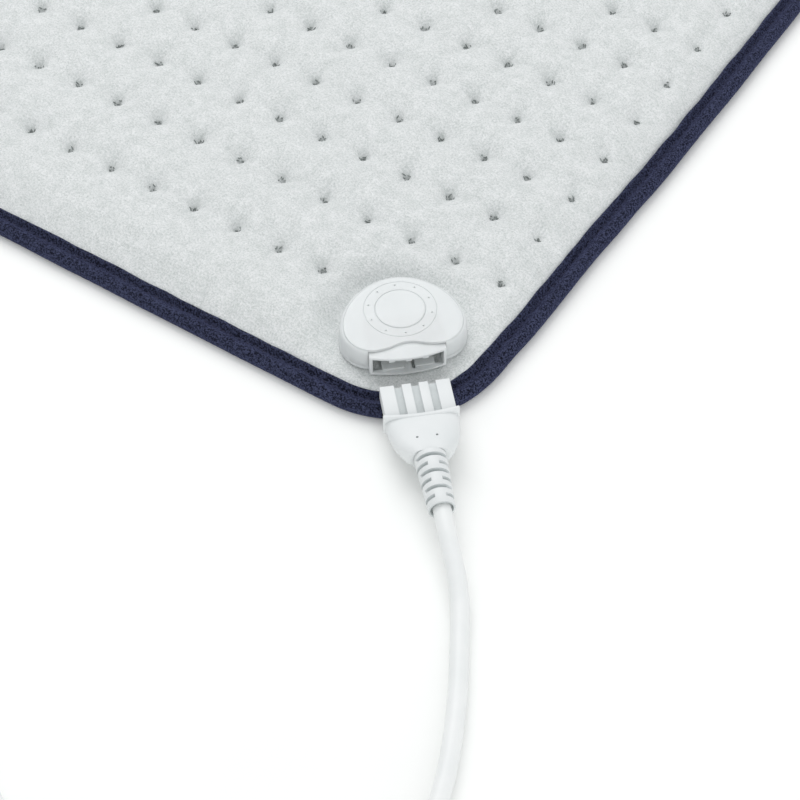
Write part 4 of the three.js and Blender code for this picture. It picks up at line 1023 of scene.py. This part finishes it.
# Plug body. Soft white PVC moulded over the nose and the lead: a thin flange, then a domed grip
# that narrows to the strain relief, with two pin holes left by the mould.
flange_start = 12 * mm
flange_back = 13.4 * mm
flange_half = 12.05 * mm
flange_high = 3.85 * mm
grip_end = 28.1 * mm
place_shares = (0, 0.1, 0.2, 0.3, 0.42, 0.54, 0.66, 0.78, 0.9, 1)
width_shares = (0.98, 0.99, 0.98, 0.965, 0.94, 0.905, 0.85, 0.775, 0.68, 0.55)
height_shares = (0.92, 0.955, 0.98, 1.0, 1.03, 1.06, 1.09, 1.11, 1.13, 1.14)
grip_start = (flange_start + flange_back + plug_bow) / 2


def grip_ring(x, half_width, half_height, squareness, depth):
    """A ring of points across a grip: between an oval, at a squareness of 2, and a rectangle, and
    cut level at a depth."""
    ring = []
    for i in range(64):
        t = 2 * math.pi * (i + 0.5) / 64
        c, s = math.cos(t), math.sin(t)
        y = half_width * math.copysign(abs(c) ** (2 / squareness), c)
        z = half_height * math.copysign(abs(s) ** (2 / squareness), s)
        ring.append(Vector((x, y, max(z, -depth))))
    return ring


grip_rings = []
for place_share, width_share, height_share in zip(place_shares, width_shares, height_shares):
    x = grip_start + place_share * (grip_end - grip_start)
    half_width = width_share * flange_half - 0.3 * mm
    half_height = height_share * flange_high
    grip_rings.append(grip_ring(x, half_width, half_height, 2.9, flange_high))
grip = skin("plug_grip", grip_rings)
flange_low = (flange_start, -flange_half, -flange_high)
flange_corner = (flange_back, flange_half, flange_high)
flange = bowed_box("flange", flange_low, flange_corner, plug_bow, plug_bow)
ease(flange, 0.4 * mm, segments=3)
combine(grip, [flange], "UNION")
hole_spots = [(22.7 * mm, y * mm, 4.2 * mm) for y in (-3.1, 3.1)]
combine(grip, [drum("hole", spot, 0.42 * mm, 3 * mm, sides=16) for spot in hole_spots])
grip.data.materials.append(pvc_white)
settle(grip, plug_frame, "lead_plug", "plug_plastic", "plug_body")

# Strain relief. The same PVC, moulded as a tapered sleeve; slots round its core, bridged in turn at
# the sides and above and below, let it bend. It ends in a collar round the cord.
relief_start = 28.4 * mm

# Side counts for which no corner of the sleeve or its core lies in the plane of a cut, so that
# the booleans stay closed.
cone_sides = 61
core_sides = 46


def slotted_relief(name, length, start, end, slots, depth=None):
    """A tapered sleeve along X from its thick end, with staggered slots and an open collar; its
    underside may be cut level at a depth."""
    core = cord_diameter / 2 + 0.3 * mm
    slot_width = 1.3 * mm
    bridge = 3.4 * mm
    size = {"radius1": start / 2, "radius2": end / 2, "depth": length}
    pose = {"location": (length / 2, 0, 0), "rotation": (0, math.pi / 2, 0)}
    made = primitive(bpy.ops.mesh.primitive_cone_add, name, vertices=cone_sides, **size, **pose)
    collar = 2 * mm
    cutters = [drum("collar", (length, 0, 0), core + 0.42 * mm, 2 * collar, along="X")]
    if depth:
        corner = (length + collar, start, -depth)
        cutters.append(box("underside", (-collar, -start, -start), corner))
    pitch = (length - collar) / slots
    for i in range(slots):
        x = pitch * (i + 0.5)
        wide, high = (2 * start, bridge / 2) if i % 2 == 0 else (bridge / 2, 2 * start)
        slot = box("slot", (x, -start, -start), (x + slot_width, start, start))
        kept = [
            drum("core", (x, 0, 0), core, 4 * slot_width, sides=core_sides, along="X"),
            box("bridge", (x - slot_width, -wide, -high), (x + 2 * slot_width, wide, high)),
        ]
        combine(slot, kept)
        cutters.append(slot)
    combine(made, cutters)
    ease(made, 0.16 * mm, angle=50)
    # Faces round the core, in the slots, take the second material, whose darker tone is painted
    # shade.
    for face in made.data.polygons:
        face.material_index = int(math.hypot(face.center.y, face.center.z) < core + 0.44 * mm)
    made.data.materials.append(pvc_white)
    made.data.materials.append(pvc_matt_painted_shade)
    return made


relief = slotted_relief("plug_strain_relief", 20.2 * mm, 10.4 * mm, 8.4 * mm, 6, flange_high)
relief_frame = plug_frame @ Matrix.Translation((relief_start, 0, 0))
settle(relief, relief_frame, "lead_plug", "plug_plastic", "plug_relief")

# Hand controller. A flat white ABS case in two shells that part at half height, held by four
# screws from below; a slide knob for the level, a lamp window and a push button on top.
handset_centre = Vector((5, -262, 0)) * mm
handset_frame = Matrix.Translation(handset_centre)
case_length = 118 * mm
case_width = 44 * mm
case_height = 22 * mm
case_radius = 20 * mm
case_wall = 2 * mm
split_level = case_height / 2
split_gap = 0.3 * mm
neck_radius = 4.1 * mm


def round_block(name, low, high, radius, segments):
    """A box with its upright edges rounded."""
    made = box(name, low, high)
    values = {"offset": radius, "segments": segments, "profile": 0.5}
    edit_edges(made, lambda a, b: abs(a.z - b.z) > 1 * mm, bpy.ops.mesh.bevel, **values)
    return made


def case_half(name, low, high, rim, shoulder):
    """One shell as a full block, with a rounded shoulder round its rim."""
    corner = (case_length / 2, case_width / 2, high)
    made = round_block(name, (-case_length / 2, -case_width / 2, low), corner, case_radius, 14)
    values = {"offset": shoulder, "segments": 7, "profile": 0.5}

    def on_rim(a, b):
        return abs(a.z - rim) + abs(b.z - rim) < 0.01 * mm

    edit_edges(made, on_rim, bpy.ops.mesh.bevel, **values)
    return made


def case_room(low, high):
    """The hollow inside a shell, between two levels."""
    room_half, room_side = case_length / 2 - case_wall, case_width / 2 - case_wall
    corner = (room_half, room_side, high)
    return round_block("room", (-room_half, -room_side, low), corner, case_radius - case_wall, 12)


def neck():
    """The leads' way in, at both ends of the case."""
    return drum("neck", (0, 0, split_level), neck_radius, 2 * case_length, along="X")


screw_places = [(x * mm, y * mm) for x in (-46, 46) for y in (-11, 11)]
lower = case_half("case_lower_shell", 0, split_level - split_gap / 2, 0, 2.5 * mm)
wells = [drum("screw_well", (x, y, 0), 2.6 * mm, 8 * mm, sides=32) for x, y in screw_places]
combine(lower, [case_room(case_wall, case_height), *wells, neck()])
ease(lower, 0.2 * mm)
lower.data.materials.append(abs_white)
settle(lower, handset_frame, "pad_set", "housing", "handset_lower_shell")

slider_middle = -14.16 * mm
slider_travel = 18 * mm
knob_length = 13 * mm
knob_width = 9.4 * mm
recess_depth = 1.2 * mm
recess_play = 0.3 * mm
track_half, track_side = 11.8 * mm, 2.3 * mm
button_place = 33.04 * mm
lamp_place = 14.99 * mm
lamp_half = 2.3 * mm
upper_start = split_level + split_gap / 2
upper = case_half("case_upper_shell", upper_start, case_height, case_height, 4.5 * mm)
recess_half = (slider_travel + knob_length) / 2 + recess_play
recess_side = knob_width / 2 + recess_play
recess_low = (slider_middle - recess_half, -recess_side, case_height - recess_depth)
recess_corner = (slider_middle + recess_half, recess_side, case_height + 1 * mm)
track_low = (slider_middle - track_half, -track_side, 0)
track_corner = (slider_middle + track_half, track_side, case_height)
cuts = [
    case_room(0, case_height - case_wall - recess_depth),
    box("recess", recess_low, recess_corner),
    box("track", track_low, track_corner),
    drum("button_hole", (button_place, 0, case_height), 6.3 * mm, 20 * mm, sides=64),
    neck(),
]
for x in (lamp_place - lamp_half, lamp_place + lamp_half):
    cuts.append(drum("lamp_hole", (x, 0, case_height), 2 * mm, 20 * mm, sides=32))
lamp_low = (lamp_place - lamp_half, -2 * mm, 12 * mm)
cuts.append(box("lamp_hole", lamp_low, (lamp_place + lamp_half, 2 * mm, 32 * mm)))
combine(upper, cuts)
ease(upper, 0.25 * mm)
upper.data.materials.append(abs_white)
settle(upper, handset_frame, "pad_set", "housing", "handset_upper_shell")

# Slide knob. Navy ABS with four grooves across its top for the thumb; it is at level 0.
knob_top = case_height + 2.2 * mm
knob_place = slider_middle - slider_travel / 2
knob = box(
    "slide_knob",
    (-knob_length / 2, -knob_width / 2, case_height - recess_depth + recess_play),
    (knob_length / 2, knob_width / 2, knob_top),
)
ease(knob, 1.2 * mm, segments=4)
stem = box("stem", (-2.5 * mm, -2 * mm, 15.5 * mm), (2.5 * mm, 2 * mm, case_height))
combine(knob, [stem], "UNION")
grooves = []
for i in (-1.5, -0.5, 0.5, 1.5):
    spot = (i * 2.2 * mm, 0, knob_top + 0.35 * mm)
    grooves.append(drum("thumb_groove", spot, 0.8 * mm, 20 * mm, sides=24, along="Y"))
combine(knob, grooves)
ease(knob, 0.12 * mm, angle=45)
# ABS, moulded and dyed navy: satin, with soft highlights on its rounded edges.
tones = ("#1c2146", "#242a52")
fine_marks = {"mark": 0.35 * mm, "depth": 0.02 * mm, "mark_detail": 1}
abs_navy = finish("abs_moulded_navy", *tones, 6 * mm, **fine_marks, Roughness=0.42)
knob.data.materials.append(abs_navy)
knob_frame = handset_frame @ Matrix.Translation((knob_place, 0, 0))
settle(knob, knob_frame, "level_slider", "knob", "level_slider")

# Push button. A grey ABS cap with a shallow dish in its top, held from below by its flange.
button_top = 23.4
dish_radius = 24
button = drum("push_button", (0, 0, (17.8 + button_top) / 2 * mm), 6 * mm, 5.6 * mm, sides=72)
ease(button, 0.7 * mm, segments=4)
flange = drum("flange", (0, 0, 17.9 * mm), 7.2 * mm, 1.2 * mm, sides=48)
foot = drum("foot", (0, 0, 16.8 * mm), 3 * mm, 2.2 * mm, sides=32)
combine(button, [flange, foot], "UNION")
steps = {"segments": 72, "ring_count": 48}
dish_spot = (0, 0, (button_top + dish_radius - 0.5) * mm)
add = bpy.ops.mesh.primitive_uv_sphere_add
combine(button, [primitive(add, "dish", radius=dish_radius * mm, location=dish_spot, **steps)])
# The same ABS in a pale grey.
tones = ("#c9cfd1", "#d2d8da")
abs_grey = finish("abs_moulded_grey", *tones, 8 * mm, **fine_marks, Roughness=0.45)
button.data.materials.append(abs_grey)
button_frame = handset_frame @ Matrix.Translation((button_place, 0, 0))
settle(button, button_frame, "power_button", "button", "power_button")

# Level marks. The figures 0 to 3 and a short line for each beside the slide, pad-printed in
# navy ink, a film of a few hundredths of a millimetre.
ink = finish("printing_ink_navy", "#20264c", "#272d55", 3 * mm, Roughness=0.5)
ink_thick = 0.05 * mm
line_half, line_start, line_end = 0.25 * mm, 6 * mm, 7.3 * mm
figure_size, figure_start = 5.2 * mm, 9.3 * mm
print_level = case_height - 0.01 * mm
marks = []
for level in range(4):
    x = slider_middle - slider_travel / 2 + slider_travel * level / 3
    corner = (x + line_half, line_end, case_height + ink_thick)
    marks.append(box("mark", (x - line_half, line_start, print_level), corner))
    bpy.ops.object.select_all(action="DESELECT")
    bpy.ops.object.text_add(location=(x, figure_start, print_level))
    figure = bpy.context.object
    figure.data.body = str(level)
    figure.data.size = figure_size
    figure.data.align_x = "CENTER"
    figure.data.extrude = ink_thick
    bpy.ops.object.convert(target="MESH")
    bpy.ops.object.transform_apply(location=True, rotation=True, scale=True)
    marks.append(bpy.context.object)
bpy.ops.object.select_all(action="DESELECT")
for mark in marks:
    mark.select_set(True)
bpy.context.view_layer.objects.active = marks[0]
bpy.ops.object.join()
level_marks = bpy.context.object
level_marks.name = "level_marks"
level_marks.data.materials.clear()
level_marks.data.materials.append(ink)
close_up(level_marks)
settle(level_marks, handset_frame, "pad_set")

# Lamp window. A slug of clear amber polycarbonate, flush with the case, over the pilot lamp.
pane_half = 1.7 * mm
pane_low, pane_high = 18.5 * mm, 22 * mm
pane_middle = 20.25 * mm
pane = drum("lamp_pane", (-lamp_half, 0, pane_middle), pane_half, 3.5 * mm, sides=32)
far_end = drum("end", (lamp_half, 0, pane_middle), pane_half, 3.5 * mm, sides=32)
between = box("middle", (-lamp_half, -pane_half, pane_low), (lamp_half, pane_half, pane_high))
combine(pane, [far_end, between], "UNION")
ease(pane, 0.2 * mm, angle=50)
# Polycarbonate, moulded and polished: a deep amber with a sharp highlight.
clear = {"Roughness": 0.12, "Coat_Weight": 0.3, "IOR": 1.58}
tones = ("#e99a45", "#f2ac5c")
amber = finish("polycarbonate_amber", *tones, 4 * mm, 1.2 * mm, 0.02 * mm, **clear)
pane.data.materials.append(amber)
pane_frame = handset_frame @ Matrix.Translation((lamp_place, 0, 0))
settle(pane, pane_frame, "pad_set", "window", "lamp_window")

# Reliefs of the hand controller. Ribbed white PVC sleeves keyed in the case wall at both ends.
ribbed_profile = [(-4.6, 0), (-4.6, 4.8), (-2.6, 4.8), (-2.6, 3.8), (0, 3.8), (0.15, 5.05)]
ribbed_profile += [(0.4, 5.2)]
rib_pitch = 4.4
for i in range(5):
    start = rib_pitch * (i + 0.6)
    outer = 5.2 - 0.05 * start
    rib = [(-0.2, outer), (0, outer - 0.2), (0.05, 3.5), (1.25, 3.5), (1.3, outer - 0.25)]
    ribbed_profile += [(start + x, radius) for x, radius in [*rib, (1.5, outer - 0.07)]]
ribbed_profile += [(23.8, 4.02), (24, 3.85), (24, 3.2), (23, 3.2), (23, 0)]


def turned_piece(name, profile, sides=48):
    """A piece turned about X from a profile of (place, radius) in millimetres."""
    rings = []
    for x, radius in profile:
        turns = [2 * math.pi * i / sides for i in range(sides)]
        radius = max(radius, 0.01)
        rings.append([Vector((x, radius * math.cos(t), radius * math.sin(t))) * mm for t in turns])
    return skin(name, rings)


for name, turn, node_name in (
    ("lead_end_relief", 0, "pad_lead_relief"),
    ("mains_end_relief", math.pi, "mains_lead_relief"),
):
    sleeve = turned_piece(name, ribbed_profile)
    sleeve.data.materials.append(pvc_white)
    place = Matrix.Rotation(turn, 4, "Z") @ Matrix.Translation((59.3 * mm, 0, split_level))
    settle(sleeve, handset_frame @ place, "pad_set", "plug_plastic", node_name)

# Mains plug. A flat two-pin plug in white PVC with a waisted grip, lying on its broad side; its
# nickel-plated pins are sleeved in black over half their length.
mains_place = Matrix.Translation(Vector((-62, -188, 7)) * mm)
mains_frame = mains_place @ Matrix.Rotation(math.radians(-8), 4, "Z")
plug_places = (0, 0.06, 0.12, 0.22, 0.34, 0.46, 0.58, 0.7, 0.82, 0.94, 1)
plug_widths = (0.38, 0.44, 0.5, 0.58, 0.665, 0.75, 0.86, 0.95, 0.995, 1, 0.985)
plug_heights = (0.84, 0.9, 0.94, 0.975, 1, 1, 1, 1, 1, 0.99, 0.93)
mains_start, mains_long, mains_half, mains_high = 24.3, 36, 17.5, 7
plug_rings = []
for place_share, width_share, height_share in zip(plug_places, plug_widths, plug_heights):
    x = (mains_start + mains_long * place_share) * mm
    half_width, half_height = width_share * mains_half * mm, height_share * mains_high * mm
    plug_rings.append(grip_ring(x, half_width, half_height, 3.4, mains_high * mm))
mains_body = skin("mains_plug_grip", plug_rings)
grips = []
for i in range(4):
    for side in (-1, 1):
        spot = ((33 + 3.4 * i) * mm, 0, side * 7.55 * mm)
        grips.append(drum("grip_line", spot, 0.95 * mm, 13 * mm, sides=20, along="Y"))
combine(mains_body, grips)
ease(mains_body, 0.25 * mm, angle=50)
mains_body.data.materials.append(pvc_white)
settle(mains_body, mains_frame, "pad_set", "plug_plastic", "mains_plug_body")

mains_relief = slotted_relief("mains_plug_sleeve", 24 * mm, 10.4 * mm, 8 * mm, 6)
turned_back = Matrix.Translation((24 * mm, 0, 0)) @ Matrix.Rotation(math.pi, 4, "Z")
settle(mains_relief, mains_frame @ turned_back, "pad_set", "plug_plastic", "mains_plug_relief")

# Nickel plating on brass reflects brightly and a little softly; the polyamide is satin black.
tones = ("#c2c5c7", "#d2d4d6")
plated = {"Metallic": 1, "Roughness": 0.22}
nickel = finish("brass_nickel_plated", *tones, 5 * mm, 0.5 * mm, 0.01 * mm, **plated)
tones = ("#1d1f21", "#26282a")
black = {"Roughness": 0.5}
sleeve_black = finish("polyamide_moulded_black", *tones, 5 * mm, 0.4 * mm, 0.02 * mm, **black)
sleeve_end = 70.6
pin_profile = [(60.6, 0), (60.6, 2), (sleeve_end, 2), (70.61, 2), (77.6, 2), (78.8, 1.7)]
pin_profile += [(79.4, 1.1), (79.6, 0.5), (79.6, 0)]
for number, side in ((1, -1), (2, 1)):
    pin = turned_piece(f"plug_pin_{number}", pin_profile, 32)
    pin.data.materials.append(nickel)
    pin.data.materials.append(sleeve_black)
    for face in pin.data.polygons:
        face.material_index = 1 if face.center.x < sleeve_end * mm else 0
    place = Matrix.Translation((0, side * 9.3 * mm, 0))
    settle(pin, mains_frame @ place, "pad_set", "pin", f"mains_pin_{number}")

# Inner pieces. What the covers and cases hide keeps its solid and gets the finish of the real
# thing; each row has the material, its two tones, the sizes of its patches and marks and the depth
# of these in millimetres, the shader's values, and the solids that are made of it.
inner_finishes = {}
for name, low, high, patch, mark, depth, values, covered in (
    # Matt and fuzzy, with a pale rim at grazing light.
    ("wool_felt_needled", "#cfcbbf", "#e0ddd3", 1.2, 0.8, 0.2,
     {"detail": 4, "Roughness": 0.95, "Sheen_Weight": 0.2}, ["element_felt"]),
    # Both wires have a smooth, softly shining sleeve: brownish silicone here, red PVC below.
    ("silicone_wire_extruded", "#c2a283", "#cdb092", 6, 0.6, 0.02,
     {"Roughness": 0.5}, ["heating_wire"]),
    ("pvc_wire_red", "#ae3829", "#bb4433", 6, 0.6, 0.02,
     {"Roughness": 0.5}, [f"element_lead_{i}" for i in (1, 2)]),
    # Warm and bright, with fine drawing marks.
    ("brass_drawn", "#c3a761", "#d2b872", 3, 0.4, 0.01,
     {"Metallic": 1, "Roughness": 0.28},
     [f"{end}_contact_{i}" for end in ("socket", "plug") for i in (1, 2, 3)]),
    # A cool grey metal with a soft reflection.
    ("steel_zinc_plated", "#9da1a4", "#b1b5b8", 3, 0.5, 0.015,
     {"Metallic": 1, "Roughness": 0.35},
     ["overheat_guard", "socket_screw_1", "socket_screw_2",
      *[f"handset_screw_{i}" for i in (1, 2, 3, 4)]]),
    # Green lacquer over woven glass, with a satin gloss.
    ("glass_laminate_solder_mask", "#2a6340", "#34724c", 2.5, 0.8, 0.02,
     {"Roughness": 0.4}, ["circuit_board"]),
    # Smooth, with a sharp highlight.
    ("glass_drawn_tube", "#cbd2ce", "#d6dcd9", 6, 2, 0.01,
     {"Roughness": 0.1}, ["fuse"]),
    # Pale and satin.
    ("polyamide_moulded_pale", "#dde1e1", "#e4e8e8", 6, 0.4, 0.02,
     {"Roughness": 0.5}, ["contact_carrier", "socket_backing_bar"]),
):
    made = finish(name, low, high, patch * mm, mark * mm, depth * mm, **values)
    inner_finishes.update({node_name: made for node_name in covered})
inner_finishes.update({"level_switch": sleeve_black, "button_switch": sleeve_black, "lamp": amber})
for node_name, material in inner_finishes.items():
    nodes[node_name].data.materials.clear()
    nodes[node_name].data.materials.append(material)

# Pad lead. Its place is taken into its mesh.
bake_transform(pad_lead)
